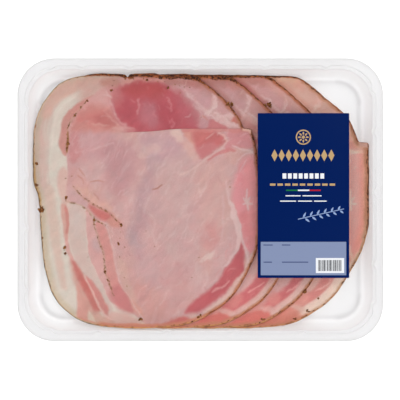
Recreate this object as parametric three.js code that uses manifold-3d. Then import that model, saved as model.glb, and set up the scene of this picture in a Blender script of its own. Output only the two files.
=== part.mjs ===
// A shallow sealed tray of sliced porchetta: a thin formed plastic tray, overlapping thin slices of
// the rolled roast fanned from left to right inside it, a clear film lid sealed on the tray's flange
// and a printed card label stuck on the film.
// Millimetres, +Z up, +X along the tray's long side. The origin is the middle of the tray's base.

import * as THREE from "three";
import { mergeVertices } from "three/addons/utils/BufferGeometryUtils.js";
import Module from "manifold-3d";

const wasm = await Module();
wasm.setup();

// Tray
const TRAY_LENGTH = 227;
const TRAY_WIDTH = 175.6;
const TRAY_DEPTH = 18;
const TRAY_CORNER_RADIUS = 23;
const SHEET_THICKNESS = 0.8;
const LIP_DROP = 1.8;
const SEAL_INSET = 4.5;
const WALL_TOP_INSET = 6.8;
const WALL_FOOT_INSET = 9.9;
const WALL_FOOT_HEIGHT = 4;
const FLOOR_INSET = 12.8;
const CORNER_STEPS = 6;
const SEAL_CORNER_EXTRA = 3.7;
const WALL_CORNER_EXTRA = 5;

// Lugs that keep stacked empty trays apart: small points that look inwards all round the flange
const LUG_DEPTH = 1.9;
const LUG_HALF_WIDTH = 3;
const LUGS_TOP_X = [77.9, 40.1, -2.9, -44.1, -73.2];
const LUGS_LEFT_Y = [56.5, 14.7, -17.5, -55.9];
const LUGS_BOTTOM_X = [-63.6, -20.6, 21.2, 63.6];
const LUGS_RIGHT_Y = [-40.1, 4.8, 42];
const CORNER_LUG_DEGREES = [20, 105, 252, 345];
const CORNER_LUG_CLEARANCE_DEGREES = 2;

// Slices
const SLICE_THICKNESS = 1.3;
const SLICE_GAP = 0.2;
const FLOOR_GAP = 0.3;
const SLICE_SHIFTS = [0, 22, 46, 65];
const LAST_SLICE_BULGE = 3.6;
const LAST_SLICE_TAPER = 4;
const LAST_SLICE_SQUARE = 3.2;
const DRAPE_NEAR = 10;
const DRAPE_FAR = 22;
const CURL_HEIGHT = 8.5;
const CURL_HEIGHT_RIGHT = 10.5;
const CURL_WIDTH = 20;
const CRAG_DEPTH = 0.45;
const OUTLINE_STEP = 4.8;
const GRID_STEP_X = 9;
const GRID_ROWS_BELOW = 15;
const GRID_ROWS_ABOVE = 5;
const GRID_HALF_X = 108;
const GRID_HALF_Y = 84;

// The pleat across each slice: its lower part lies over its upper part along this line
const PLEAT_Y = 44.7;
const PLEAT_BEND_RIGHT_X = 45;
const PLEAT_BEND_LEFT_X = -10;
const PLEAT_DROP_RIGHT = 0.0031;
const PLEAT_DROP_LEFT = 0.0018;
const PLEAT_HEIGHT = 0.9;
const PLEAT_STEP = 0.8;
const PLEAT_FADE = 14;
const PLEAT_STARTS = [[-70, -10], [26, 42], [48, 66], [72, 92]];

// Film lid and label
const FILM_THICKNESS = 0.2;
const FILM_INSET = 1.4;
const FILM_GAP = 0.05;
const LABEL_WIDTH = 56.7;
const LABEL_HEIGHT = 102.1;
const LABEL_THICKNESS = 0.2;
const LABEL_CORNER_RADIUS = 1;
const LABEL_X = 63.9;
const LABEL_Y = 2.6;

// The first slice's outline, anticlockwise from its top left. The others repeat it further right.
const SLICE_OUTLINE = [
  [-70, 77.6], [-86, 72.3], [-96.8, 60.5], [-102.2, 47], [-103.9, 32], [-103.4, 13],
  [-101, 0.5], [-99.3, -25.8], [-96.3, -45], [-90.8, -60.5], [-81, -70.6], [-68, -76],
  [-48, -78.2], [-31.5, -78.3], [-7, -76], [12, -67], [22, -57.6], [30, -43.5],
  [35.2, -29], [36.4, -6.4], [36, 12.4], [34.8, 30],
];
const OUTLINE_UPPER = [[22.8, 52.2], [13, 63.8], [5, 71], [-5, 76.6], [-20, 77.4], [-45, 77.6]];
const JOG_OUTER_X = 31.4;
const JOG_INNER_X = 27;
const LAST_JOG_OUTER_X = 39.2;
const LAST_JOG_INNER_X = 33.6;

const MATERIALS = {
  tray: { color: 0xf1f1f0, roughness: 0.28, metalness: 0 },
  film: { color: 0xf6f8fa, roughness: 0.08, metalness: 0, transparent: true, opacity: 0.15 },
  slice: { color: 0xcb948c, roughness: 0.45, metalness: 0 },
  label: { color: 0x011e5a, roughness: 0.35, metalness: 0 },
};

// Small tools: repeatable random numbers, a soft step and closed meshes

function makeRandom(seed) {
  let state = seed;
  return () => {
    state = (state * 1664525 + 1013904223) % 4294967296;
    return state / 4294967296;
  };
}

function softStep(low, high, value) {
  const t = Math.min(1, Math.max(0, (value - low) / (high - low)));
  return t * t * (3 - 2 * t);
}

function geometryFrom(positions, triangles) {
  const geometry = new THREE.BufferGeometry();
  geometry.setAttribute("position", new THREE.Float32BufferAttribute(positions, 3));
  geometry.setIndex(triangles);
  return geometry;
}

function solidFrom(geometry) {
  const bare = new THREE.BufferGeometry();
  bare.setAttribute("position", geometry.getAttribute("position"));
  bare.setIndex(geometry.getIndex());
  const merged = mergeVertices(bare, 1e-4);
  return new wasm.Manifold(new wasm.Mesh({
    numProp: 3,
    vertProperties: new Float32Array(merged.getAttribute("position").array),
    triVerts: new Uint32Array(merged.getIndex().array),
  }));
}

function geometryOfSolid(solid) {
  const mesh = solid.getMesh();
  return geometryFrom(Array.from(mesh.vertProperties), Array.from(mesh.triVerts));
}

function namedMesh(name, geometry, finish) {
  geometry.computeVertexNormals();
  const mesh = new THREE.Mesh(geometry, new THREE.MeshStandardMaterial(finish));
  mesh.name = name;
  return mesh;
}

// Tray

// A station is a place on the outer edge: its point, the way in, how far a lug reaches there, and
// the pull of a rounder corner, because the corners of the seal line and wall have more radius.
function trayStations() {
  const cornerX = TRAY_LENGTH / 2 - TRAY_CORNER_RADIUS;
  const cornerY = TRAY_WIDTH / 2 - TRAY_CORNER_RADIUS;
  const stations = [];

  function addCorner(centreX, centreY, startDegrees) {
    const lugHalf = THREE.MathUtils.radToDeg(LUG_HALF_WIDTH / (TRAY_CORNER_RADIUS - SEAL_INSET));
    const plain = [];
    for (let i = 0; i <= CORNER_STEPS; i += 1) {
      plain.push({ degrees: startDegrees + (90 * i) / CORNER_STEPS, lug: 0 });
    }
    const lowest = startDegrees + lugHalf;
    const highest = startDegrees + 90 - lugHalf;
    const tip = CORNER_LUG_DEGREES.find((degrees) => degrees > lowest && degrees < highest);
    const nearest = lugHalf + CORNER_LUG_CLEARANCE_DEGREES;
    const kept = plain.filter((s) => tip === undefined || Math.abs(s.degrees - tip) > nearest);
    if (tip !== undefined) {
      kept.push({ degrees: tip - lugHalf, lug: 0 });
      kept.push({ degrees: tip, lug: LUG_DEPTH });
      kept.push({ degrees: tip + lugHalf, lug: 0 });
    }
    kept.sort((a, b) => a.degrees - b.degrees);
    for (const { degrees, lug } of kept) {
      const angle = THREE.MathUtils.degToRad(degrees);
      const way = [Math.cos(angle), Math.sin(angle)];
      stations.push({
        x: centreX + TRAY_CORNER_RADIUS * way[0],
        y: centreY + TRAY_CORNER_RADIUS * way[1],
        inX: -way[0],
        inY: -way[1],
        lug,
        pullX: way[0] - Math.sign(centreX),
        pullY: way[1] - Math.sign(centreY),
      });
    }
  }

  function addLugs(places, toPoint, inX, inY, direction) {
    for (const place of places) {
      for (const side of [-1, 0, 1]) {
        const [x, y] = toPoint(place + direction * side * LUG_HALF_WIDTH);
        stations.push({ x, y, inX, inY, lug: side === 0 ? LUG_DEPTH : 0, pullX: 0, pullY: 0 });
      }
    }
  }

  addCorner(cornerX, cornerY, 0);
  addLugs(LUGS_TOP_X, (x) => [x, TRAY_WIDTH / 2], 0, -1, -1);
  addCorner(-cornerX, cornerY, 90);
  addLugs(LUGS_LEFT_Y, (y) => [-TRAY_LENGTH / 2, y], 1, 0, -1);
  addCorner(-cornerX, -cornerY, 180);
  addLugs(LUGS_BOTTOM_X, (x) => [x, -TRAY_WIDTH / 2], 0, 1, 1);
  addCorner(cornerX, -cornerY, 270);
  addLugs(LUGS_RIGHT_Y, (y) => [TRAY_LENGTH / 2, y], -1, 0, 1);
  return stations;
}

// The sheet's section, from the lip's outer edge over the flange and down to the floor, and back
// below: how far in, how high, how much of a lug's reach is felt there, and a corner's extra radius.
function trayProfiles() {
  const top = TRAY_DEPTH;
  const upper = [
    [0, top - LIP_DROP, 0, 0],
    [0.35, top - 0.8, 0, 0],
    [1.2, top - 0.15, 0, 0],
    [2, top, 0, 0],
    [SEAL_INSET, top, 1, SEAL_CORNER_EXTRA],
    [SEAL_INSET + 0.5, top - 0.7, 1, SEAL_CORNER_EXTRA],
    [WALL_TOP_INSET - 0.6, top - 0.9, 0.6, WALL_CORNER_EXTRA],
    [WALL_TOP_INSET, top - 1.4, 0.35, WALL_CORNER_EXTRA],
    [WALL_FOOT_INSET, WALL_FOOT_HEIGHT, 0, WALL_CORNER_EXTRA],
    [WALL_FOOT_INSET + 0.9, 1.75, 0, WALL_CORNER_EXTRA],
    [FLOOR_INSET, SHEET_THICKNESS, 0, WALL_CORNER_EXTRA],
  ];
  const lower = [
    [FLOOR_INSET, 0, 0, WALL_CORNER_EXTRA],
    [WALL_FOOT_INSET + 0.3, 0.75, 0, WALL_CORNER_EXTRA],
    [WALL_FOOT_INSET - 0.8, WALL_FOOT_HEIGHT - 0.2, 0, WALL_CORNER_EXTRA],
    [WALL_TOP_INSET - 0.8, top - 1.9, 0.35, WALL_CORNER_EXTRA],
    [SEAL_INSET - 0.4, top - 1.6, 1, SEAL_CORNER_EXTRA],
    [2, top - SHEET_THICKNESS, 0, 0],
    [0.8, top - LIP_DROP, 0, 0],
  ];
  return { upper, lower };
}

function makeTray() {
  const stations = trayStations();
  const { upper, lower } = trayProfiles();
  const rings = [...upper, ...lower];
  const count = stations.length;
  const positions = [];
  const triangles = [];
  for (const [inset, height, lugShare, cornerExtra] of rings) {
    for (const { x, y, inX, inY, lug, pullX, pullY } of stations) {
      const reach = inset + lugShare * lug;
      positions.push(x + inX * reach + pullX * cornerExtra, y + inY * reach + pullY * cornerExtra, height);
    }
  }
  function joinRings(a, b) {
    for (let i = 0; i < count; i += 1) {
      const j = (i + 1) % count;
      triangles.push(a * count + i, a * count + j, b * count + j);
      triangles.push(a * count + i, b * count + j, b * count + i);
    }
  }
  for (let ring = 0; ring < upper.length - 1; ring += 1) {
    joinRings(ring, ring + 1);
  }
  for (let ring = upper.length; ring < rings.length - 1; ring += 1) {
    joinRings(ring, ring + 1);
  }
  joinRings(rings.length - 1, 0);
  const floorRing = upper.length - 1;
  const baseRing = upper.length;
  const floorCentre = positions.length / 3;
  positions.push(0, 0, SHEET_THICKNESS, 0, 0, 0);
  for (let i = 0; i < count; i += 1) {
    const j = (i + 1) % count;
    triangles.push(floorCentre, floorRing * count + i, floorRing * count + j);
    triangles.push(floorCentre + 1, baseRing * count + j, baseRing * count + i);
  }
  return geometryFrom(positions, triangles);
}

// Slices

function pleatLine(x) {
  const right = Math.max(0, x - PLEAT_BEND_RIGHT_X);
  const left = Math.max(0, PLEAT_BEND_LEFT_X - x);
  return PLEAT_Y - PLEAT_DROP_RIGHT * right * right - PLEAT_DROP_LEFT * left * left;
}

// How far inside the wall's foot a point lies, round the corners too
function distanceFromWall(x, y) {
  const radius = TRAY_CORNER_RADIUS - WALL_FOOT_INSET + WALL_CORNER_EXTRA;
  const halfX = TRAY_LENGTH / 2 - WALL_FOOT_INSET - radius;
  const halfY = TRAY_WIDTH / 2 - WALL_FOOT_INSET - radius;
  const outX = Math.abs(x) - halfX;
  const outY = Math.abs(y) - halfY;
  const outside = Math.hypot(Math.max(outX, 0), Math.max(outY, 0));
  return radius - outside - Math.min(Math.max(outX, outY), 0);
}

// Where a slice would lie if it were alone: on the floor, curling up along the tray's wall
function bedHeight(x, y) {
  const distance = distanceFromWall(x, y);
  const share = Math.max(0, 1 - distance / CURL_WIDTH);
  const atRight = softStep(70, 100, x);
  const height = CURL_HEIGHT + (CURL_HEIGHT_RIGHT - CURL_HEIGHT) * atRight;
  return SHEET_THICKNESS + FLOOR_GAP + height * share ** 2.2;
}

// The fold's extra height, sharp at its upper side or eased for what lies over it
function pleatRise(index, x, y, eased) {
  const [start, full] = PLEAT_STARTS[index];
  const height = PLEAT_HEIGHT * softStep(start, full, x);
  const below = pleatLine(x) - y;
  if (below >= -1e-6) {
    return height * Math.exp(-below / PLEAT_FADE);
  }
  return eased ? height * softStep(-10, 0, below) : 0;
}

function sliceOutline(index) {
  const shift = SLICE_SHIFTS[index];
  const isLast = index === SLICE_SHIFTS.length - 1;
  const bulge = isLast ? LAST_SLICE_BULGE : 0;
  const taper = isLast ? LAST_SLICE_TAPER : 1.5 * Math.sign(index);
  function place([x, y]) {
    const onRight = softStep(-30, 30, x);
    const swell = bulge * Math.exp(-(((y - 4) / 26) ** 2)) * onRight;
    const tuck = taper * softStep(-20, -70, y) * onRight;
    const square = isLast ? LAST_SLICE_SQUARE * softStep(10, 32, y) * softStep(25, 34, x) : 0;
    return new THREE.Vector3(x + shift + swell - tuck + square, y, 0);
  }
  const lowerPoints = SLICE_OUTLINE.map(place);
  const upperPoints = OUTLINE_UPPER.map(place);
  const outerX = (isLast ? LAST_JOG_OUTER_X : JOG_OUTER_X) + shift;
  const innerX = (isLast ? LAST_JOG_INNER_X : JOG_INNER_X) + shift;
  const outer = new THREE.Vector3(outerX, pleatLine(outerX), 0);
  const inner = new THREE.Vector3(innerX, pleatLine(innerX) + PLEAT_STEP, 0);
  const start = upperPoints[upperPoints.length - 1];
  const curves = [
    new THREE.CatmullRomCurve3([start, ...lowerPoints, outer], false, "centripetal"),
    new THREE.CatmullRomCurve3([inner, ...upperPoints], false, "centripetal"),
  ];
  const random = makeRandom(41 + 17 * index);
  const points = [];
  for (const curve of curves) {
    const steps = Math.round(curve.getLength() / OUTLINE_STEP);
    const first = curve === curves[0] ? 1 : 0;
    for (let i = first; i <= steps; i += 1) {
      const point = curve.getPointAt(i / steps);
      const tangent = curve.getTangentAt(i / steps);
      const crag = i === 0 || i === steps ? 0 : CRAG_DEPTH * random();
      points.push(new THREE.Vector2(point.x - crag * tangent.y, point.y + crag * tangent.x));
    }
  }
  return points;
}

function distanceOutside(outline, x, y) {
  let nearest = Infinity;
  let inside = false;
  for (let i = 0, j = outline.length - 1; i < outline.length; j = i, i += 1) {
    const a = outline[j];
    const b = outline[i];
    const run = (b.x - a.x) ** 2 + (b.y - a.y) ** 2;
    const along = ((x - a.x) * (b.x - a.x) + (y - a.y) * (b.y - a.y)) / run;
    const t = Math.min(1, Math.max(0, along));
    nearest = Math.min(nearest, Math.hypot(x - a.x - t * (b.x - a.x), y - a.y - t * (b.y - a.y)));
    if ((b.y > y) !== (a.y > y) && x < ((a.x - b.x) * (y - b.y)) / (a.y - b.y) + b.x) {
      inside = !inside;
    }
  }
  return inside ? 0 : nearest;
}

// One grid of places serves every slice, so that their facets lie one above the other.
function gridPlaces() {
  const columns = Math.round((2 * GRID_HALF_X) / GRID_STEP_X);
  const rows = GRID_ROWS_BELOW + 1 + GRID_ROWS_ABOVE;
  const places = [];
  for (let column = 0; column <= columns; column += 1) {
    const x = -GRID_HALF_X + (2 * GRID_HALF_X * column) / columns;
    const line = pleatLine(x);
    for (let row = 0; row <= rows; row += 1) {
      const above = row - GRID_ROWS_BELOW - 1;
      const low = -GRID_HALF_Y + ((line + GRID_HALF_Y) * row) / GRID_ROWS_BELOW;
      const highStart = line + PLEAT_STEP;
      const high = highStart + ((GRID_HALF_Y - highStart) * above) / GRID_ROWS_ABOVE;
      places.push([x, row <= GRID_ROWS_BELOW ? low : high]);
    }
  }
  return { places, columns, rows };
}

function makeBlanket(grid, bottoms, tops) {
  const { places, columns, rows } = grid;
  const positions = [];
  const triangles = [];
  const across = rows + 1;
  const total = places.length;
  for (const heights of [tops, bottoms]) {
    places.forEach(([x, y], i) => positions.push(x, y, heights[i]));
  }
  for (let column = 0; column < columns; column += 1) {
    for (let row = 0; row < rows; row += 1) {
      const a = column * across + row;
      const b = a + across;
      triangles.push(a, b, b + 1, a, b + 1, a + 1);
      triangles.push(total + a, total + b + 1, total + b, total + a, total + a + 1, total + b + 1);
    }
  }
  const sides = [
    [columns, (step) => step * across],
    [rows, (step) => columns * across + step],
    [columns, (step) => (columns - step) * across + rows],
    [rows, (step) => rows - step],
  ];
  const rim = sides.flatMap(([count, placeAt]) => {
    return Array.from({ length: count }, (_, step) => placeAt(step));
  });
  rim.forEach((a, i) => {
    const b = rim[(i + 1) % rim.length];
    triangles.push(a, total + a, total + b, a, total + b, b);
  });
  return geometryFrom(positions, triangles);
}

function makeSlices() {
  const grid = gridPlaces();
  const outlines = SLICE_SHIFTS.map((shift, index) => sliceOutline(index));
  const stack = grid.places.map(([x, y]) => bedHeight(x, y));
  const slices = [];
  for (let index = SLICE_SHIFTS.length - 1; index >= 0; index -= 1) {
    const bottoms = [...stack];
    const tops = grid.places.map(([x, y], i) => {
      return bottoms[i] + SLICE_THICKNESS + pleatRise(index, x, y, false);
    });
    const shape = new THREE.Shape(outlines[index]);
    const prism = new THREE.ExtrudeGeometry(shape, { depth: 2 * TRAY_DEPTH, bevelEnabled: false });
    const solid = solidFrom(makeBlanket(grid, bottoms, tops)).intersect(solidFrom(prism));
    slices.unshift(geometryOfSolid(solid));
    grid.places.forEach(([x, y], i) => {
      const share = softStep(DRAPE_FAR, DRAPE_NEAR, distanceOutside(outlines[index], x, y));
      stack[i] += (SLICE_THICKNESS + SLICE_GAP + pleatRise(index, x, y, true)) * share;
    });
  }
  return slices;
}

// Film lid and label

function roundedSheet(length, width, radius, thickness) {
  const halfX = length / 2;
  const halfY = width / 2;
  const shape = new THREE.Shape();
  shape.moveTo(halfX, -halfY + radius);
  shape.absarc(halfX - radius, halfY - radius, radius, 0, Math.PI / 2);
  shape.absarc(-halfX + radius, halfY - radius, radius, Math.PI / 2, Math.PI);
  shape.absarc(-halfX + radius, -halfY + radius, radius, Math.PI, 1.5 * Math.PI);
  shape.absarc(halfX - radius, -halfY + radius, radius, 1.5 * Math.PI, 2 * Math.PI);
  return new THREE.ExtrudeGeometry(shape, { depth: thickness, bevelEnabled: false, curveSegments: 6 });
}

function makeFilm() {
  const length = TRAY_LENGTH - 2 * FILM_INSET;
  const width = TRAY_WIDTH - 2 * FILM_INSET;
  return roundedSheet(length, width, TRAY_CORNER_RADIUS - FILM_INSET, FILM_THICKNESS);
}

function makeLabel() {
  return roundedSheet(LABEL_WIDTH, LABEL_HEIGHT, LABEL_CORNER_RADIUS, LABEL_THICKNESS);
}

const pack = new THREE.Group();
pack.add(namedMesh("tray", makeTray(), MATERIALS.tray));
makeSlices().forEach((geometry, index) => {
  pack.add(namedMesh(`slice_${index + 1}`, geometry, MATERIALS.slice));
});

const filmHeight = TRAY_DEPTH + FILM_GAP;
const film = namedMesh("film", makeFilm(), MATERIALS.film);
film.position.z = filmHeight;
pack.add(film);

const label = namedMesh("label", makeLabel(), MATERIALS.label);
label.position.set(LABEL_X, LABEL_Y, filmHeight + FILM_THICKNESS + FILM_GAP);
pack.add(label);

export default pack;
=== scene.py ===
import math

import bpy
import numpy as np
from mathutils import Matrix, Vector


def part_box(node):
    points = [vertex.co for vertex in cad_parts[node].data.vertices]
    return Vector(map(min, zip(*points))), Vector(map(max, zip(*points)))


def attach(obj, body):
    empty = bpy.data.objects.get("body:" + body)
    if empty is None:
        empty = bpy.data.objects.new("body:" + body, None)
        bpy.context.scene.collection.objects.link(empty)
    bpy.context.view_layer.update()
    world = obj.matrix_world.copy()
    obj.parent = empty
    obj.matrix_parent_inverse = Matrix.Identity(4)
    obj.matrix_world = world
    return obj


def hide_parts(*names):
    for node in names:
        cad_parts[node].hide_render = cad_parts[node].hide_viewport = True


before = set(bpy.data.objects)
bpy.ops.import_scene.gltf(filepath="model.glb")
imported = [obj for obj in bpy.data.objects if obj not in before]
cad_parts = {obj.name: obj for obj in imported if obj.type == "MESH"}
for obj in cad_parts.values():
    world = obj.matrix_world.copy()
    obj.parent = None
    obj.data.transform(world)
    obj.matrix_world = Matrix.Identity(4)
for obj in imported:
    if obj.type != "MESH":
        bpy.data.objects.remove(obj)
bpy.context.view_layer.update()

# The tray: one thin sheet of white plastic drawn down over a mould. It has a rounded lip, a flat
# flange, a fine step with small lugs that keep stacked trays apart, sloping walls and a flat floor.
# All sizes below are in millimetres, and become metres where a mesh is made.
MM = 0.001
tray_low, tray_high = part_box("tray")
TRAY_LENGTH = (tray_high.x - tray_low.x) / MM
TRAY_WIDTH = (tray_high.y - tray_low.y) / MM
TRAY_DEPTH = (tray_high.z - tray_low.z) / MM
TRAY_CORNER = 23
SHEET = 0.8
STATION_STEP = 1.12
LUG_DEPTH = 1.9
LUG_HALF_WIDTH = 3
LUGS_ACROSS = {1: (77.9, 40.1, -2.9, -44.1, -73.2), -1: (-63.6, -20.6, 21.2, 63.6)}
LUGS_ALONG = {-1: (56.5, 14.7, -17.5, -55.9), 1: (-40.1, 4.8, 42)}
CORNER_LUGS = (20, 105, 252, 345)
TRAY_CLARITY = 0.45
# The sheet's white at places this far in: lip, flange, drawn wall and floor, with painted shade and light in it:
# darker on the lip and flange, lighter on the wall
TRAY_WHITES_AND_PAINTED_SHADING = (
    (0, 0.64), (0.5, 0.78), (1.2, 0.85), (2.4, 0.88), (6.3, 0.87), (7.2, 0.98), (11, 1.0), (12.5, 0.94),
    (13.5, 0.88), (15.2, 0.86), (16.4, 0.86), (17.5, 0.87), (19, 0.87),
)
TRAY_TINT = (1, 0.994, 0.997)
# Painted shade makes the foot's corners a little darker, and painted light makes the long walls a little lighter
CORNER_PAINTED_SHADE = -0.06
CORNER_SHADE_INSET = 13.5
LONG_WALL_PAINTED_LIGHT = 0.04
WALL_INSET = 10
# The seal line's and the wall's corners are rounder than the lip's, by so much radius
SEAL_CORNER_EXTRA = 3.7
WALL_CORNER_EXTRA = 5.0
# Each point of the section: how far in, how high, its share of a lug, and its corners' extra radius
TRAY_TOP = (
    (0, TRAY_DEPTH - 1.8, 0, 0),
    (0.1, TRAY_DEPTH - 0.9, 0, 0),
    (0.6, TRAY_DEPTH - 0.35, 0, 0),
    (1.5, TRAY_DEPTH - 0.1, 0, 0),
    (2.6, TRAY_DEPTH, 0, 0.5),
    (3.6, TRAY_DEPTH, 0.6, 3.0),
    (4.3, TRAY_DEPTH - 0.02, 1, SEAL_CORNER_EXTRA),
    (4.5, TRAY_DEPTH - 0.1, 1, SEAL_CORNER_EXTRA),
    (4.75, TRAY_DEPTH - 0.75, 1, SEAL_CORNER_EXTRA),
    (5.1, TRAY_DEPTH - 0.8, 1, SEAL_CORNER_EXTRA),
    (6.1, TRAY_DEPTH - 0.85, 0.5, 4.4),
    (6.7, TRAY_DEPTH - 1.1, 0.4, WALL_CORNER_EXTRA),
    (7.0, TRAY_DEPTH - 2.0, 0.3, WALL_CORNER_EXTRA),
    (8.4, 10.3, 0, WALL_CORNER_EXTRA),
    (9.7, 4.9, 0, WALL_CORNER_EXTRA),
    (10.1, 3.2, 0, WALL_CORNER_EXTRA),
    (10.9, 1.7, 0, WALL_CORNER_EXTRA),
    (12.0, 0.95, 0, WALL_CORNER_EXTRA),
    (13.4, SHEET, 0, WALL_CORNER_EXTRA),
    (14.4, SHEET, 0, WALL_CORNER_EXTRA),
    (15.2, SHEET, 0, WALL_CORNER_EXTRA),
    (16, SHEET, 0, WALL_CORNER_EXTRA),
    (17.5, SHEET, 0, WALL_CORNER_EXTRA),
    (19, SHEET, 0, WALL_CORNER_EXTRA),
)
TRAY_UNDERSIDE = (
    (19, 0, 0, WALL_CORNER_EXTRA),
    (13, 0, 0, WALL_CORNER_EXTRA),
    (11, 0.2, 0, WALL_CORNER_EXTRA),
    (9.7, 1.2, 0, WALL_CORNER_EXTRA),
    (9.1, 3.2, 0, WALL_CORNER_EXTRA),
    (7.6, 9.9, 0, WALL_CORNER_EXTRA),
    (6.1, TRAY_DEPTH - 2.1, 0.3, WALL_CORNER_EXTRA),
    (5.6, TRAY_DEPTH - 1.8, 0.5, 4.4),
    (4.3, TRAY_DEPTH - 1.7, 1, SEAL_CORNER_EXTRA),
    (3.8, TRAY_DEPTH - 1.0, 1, SEAL_CORNER_EXTRA),
    (2.2, TRAY_DEPTH - 0.8, 0, 0.5),
    (1.2, TRAY_DEPTH - 0.95, 0, 0),
    (0.8, TRAY_DEPTH - 1.8, 0, 0),
)


def make_object(name, places, faces, smooth=True):
    """A mesh object at the origin from places in millimetres."""
    mesh = bpy.data.meshes.new(name)
    mesh.from_pydata((np.asarray(places, float) * MM).tolist(), [], [list(face) for face in faces])
    mesh.validate()
    mesh.polygons.foreach_set("use_smooth", [smooth] * len(mesh.polygons))
    piece = bpy.data.objects.new(name, mesh)
    bpy.context.scene.collection.objects.link(piece)
    return piece


def set_attribute(mesh, name, values):
    """A value for each point of a mesh: a number, three numbers or a colour."""
    values = np.asarray(values, float)
    kind, field = {1: ("FLOAT", "value"), 3: ("FLOAT_VECTOR", "vector"), 4: ("FLOAT_COLOR", "color")}[
        1 if values.ndim == 1 else values.shape[1]
    ]
    mesh.attributes.new(name, kind, "POINT").data.foreach_set(field, values.ravel())


def tray_stations():
    """Places round the tray's outer edge: point, way in, reach of a lug, and pull of a rounder corner."""
    half_x, half_y = TRAY_LENGTH / 2, TRAY_WIDTH / 2
    core_x, core_y = half_x - TRAY_CORNER, half_y - TRAY_CORNER
    stations = []

    def lug_at(distance):
        return LUG_DEPTH * max(0.0, 1 - abs(distance) / LUG_HALF_WIDTH)

    def corner(sign_x, sign_y, start):
        steps = round(TRAY_CORNER * math.pi / 2 / STATION_STEP)
        for i in range(steps + 1):
            degrees = start + 90 * i / steps
            angle = math.radians(degrees)
            way_x, way_y = math.cos(angle), math.sin(angle)
            lug = max(lug_at(math.radians(degrees - tip) * (TRAY_CORNER - 4.5)) for tip in CORNER_LUGS)
            x = sign_x * core_x + TRAY_CORNER * way_x
            y = sign_y * core_y + TRAY_CORNER * way_y
            stations.append((x, y, -way_x, -way_y, lug, way_x - sign_x, way_y - sign_y))

    def side(fixed, core, direction, across, lugs):
        straight = core - WALL_CORNER_EXTRA - STATION_STEP
        steps = round(2 * straight / STATION_STEP)
        for i in range(steps + 1):
            place = direction * straight * (2 * i / steps - 1)
            lug = max(lug_at(place - tip) for tip in lugs)
            if across:
                stations.append((place, fixed, 0, -np.sign(fixed), lug, 0, 0))
            else:
                stations.append((fixed, place, -np.sign(fixed), 0, lug, 0, 0))

    corner(1, 1, 0)
    side(half_y, core_x, -1, True, LUGS_ACROSS[1])
    corner(-1, 1, 90)
    side(-half_x, core_y, -1, False, LUGS_ALONG[-1])
    corner(-1, -1, 180)
    side(-half_y, core_x, 1, True, LUGS_ACROSS[-1])
    corner(1, -1, 270)
    side(half_x, core_y, 1, False, LUGS_ALONG[1])
    return np.array(stations, float)


def rounded(section, rounds=2):
    """The section with its corners cut, so that the sheet bends softly."""
    points = np.array(section, float)
    for _ in range(rounds):
        start, end = points[:-1], points[1:]
        cut = np.empty((2 * len(start), 4))
        cut[0::2] = 0.75 * start + 0.25 * end
        cut[1::2] = 0.25 * start + 0.75 * end
        points = np.vstack([points[:1], cut, points[-1:]])
    return points


def tray_mesh():
    stations = tray_stations()
    count = len(stations)
    rings = np.vstack([rounded(TRAY_TOP), rounded(TRAY_UNDERSIDE)])
    turn = len(rounded(TRAY_TOP)) - 1
    places = []
    for inset, height, lug_share, corner_extra in rings:
        reach = inset + lug_share * stations[:, 4]
        x = stations[:, 0] + stations[:, 2] * reach + stations[:, 5] * corner_extra
        y = stations[:, 1] + stations[:, 3] * reach + stations[:, 6] * corner_extra
        places.append(np.column_stack([x, y, np.full(count, height)]))
    faces = []
    for ring in range(len(rings)):
        following = (ring + 1) % len(rings)
        if ring == turn:
            continue
        for i in range(count):
            j = (i + 1) % count
            faces.append((ring * count + i, ring * count + j, following * count + j, following * count + i))
    faces.append(tuple(turn * count + i for i in range(count)))
    faces.append(tuple((turn + 1) * count + i for i in reversed(range(count))))
    return np.vstack(places), faces


def new_material(name):
    """A material and its node tree, with a bare Principled shader wired to the output."""
    material = bpy.data.materials.new(name)
    material.use_nodes = True
    return material, material.node_tree, material.node_tree.nodes["Principled BSDF"]


def add_node(tree, kind, **settings):
    node = tree.nodes.new(kind)
    for key, value in settings.items():
        setattr(node, key, value)
    return node


def add_bump(tree, shader, scale, strength, distance, detail=3.0, stretch=(1, 1, 1)):
    """A fine relief on the shader's normal, in object coordinates."""
    place = add_node(tree, "ShaderNodeTexCoord")
    mapping = add_node(tree, "ShaderNodeMapping")
    mapping.inputs["Scale"].default_value = stretch
    noise = add_node(tree, "ShaderNodeTexNoise")
    noise.inputs["Scale"].default_value = scale
    noise.inputs["Detail"].default_value = detail
    bump = add_node(tree, "ShaderNodeBump")
    bump.inputs["Strength"].default_value = strength
    bump.inputs["Distance"].default_value = distance
    tree.links.new(place.outputs["Object"], mapping.inputs["Vector"])
    tree.links.new(mapping.outputs["Vector"], noise.inputs["Vector"])
    tree.links.new(noise.outputs["Fac"], bump.inputs["Height"])
    tree.links.new(bump.outputs["Normal"], shader.inputs["Normal"])
    return noise


def tray_plastic():
    """Thin white plastic with a low gloss, which lets some light through, its colour greyer at the lip and flange as
    painted shade.
    """
    material, tree, shader = new_material("white tray plastic")
    tint = add_node(tree, "ShaderNodeAttribute", attribute_name="white")
    tree.links.new(tint.outputs["Color"], shader.inputs["Base Color"])
    shader.inputs["Roughness"].default_value = 0.3
    shader.inputs["IOR"].default_value = 1.49
    add_bump(tree, shader, 60, 0.25, 0.0004, detail=1.5)
    through = add_node(tree, "ShaderNodeBsdfTranslucent")
    tree.links.new(tint.outputs["Color"], through.inputs["Color"])
    mix = add_node(tree, "ShaderNodeMixShader")
    mix.inputs["Fac"].default_value = TRAY_CLARITY
    output = tree.nodes["Material Output"]
    tree.links.new(shader.outputs["BSDF"], mix.inputs[1])
    tree.links.new(through.outputs["BSDF"], mix.inputs[2])
    tree.links.new(mix.outputs["Shader"], output.inputs["Surface"])
    return material


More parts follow.
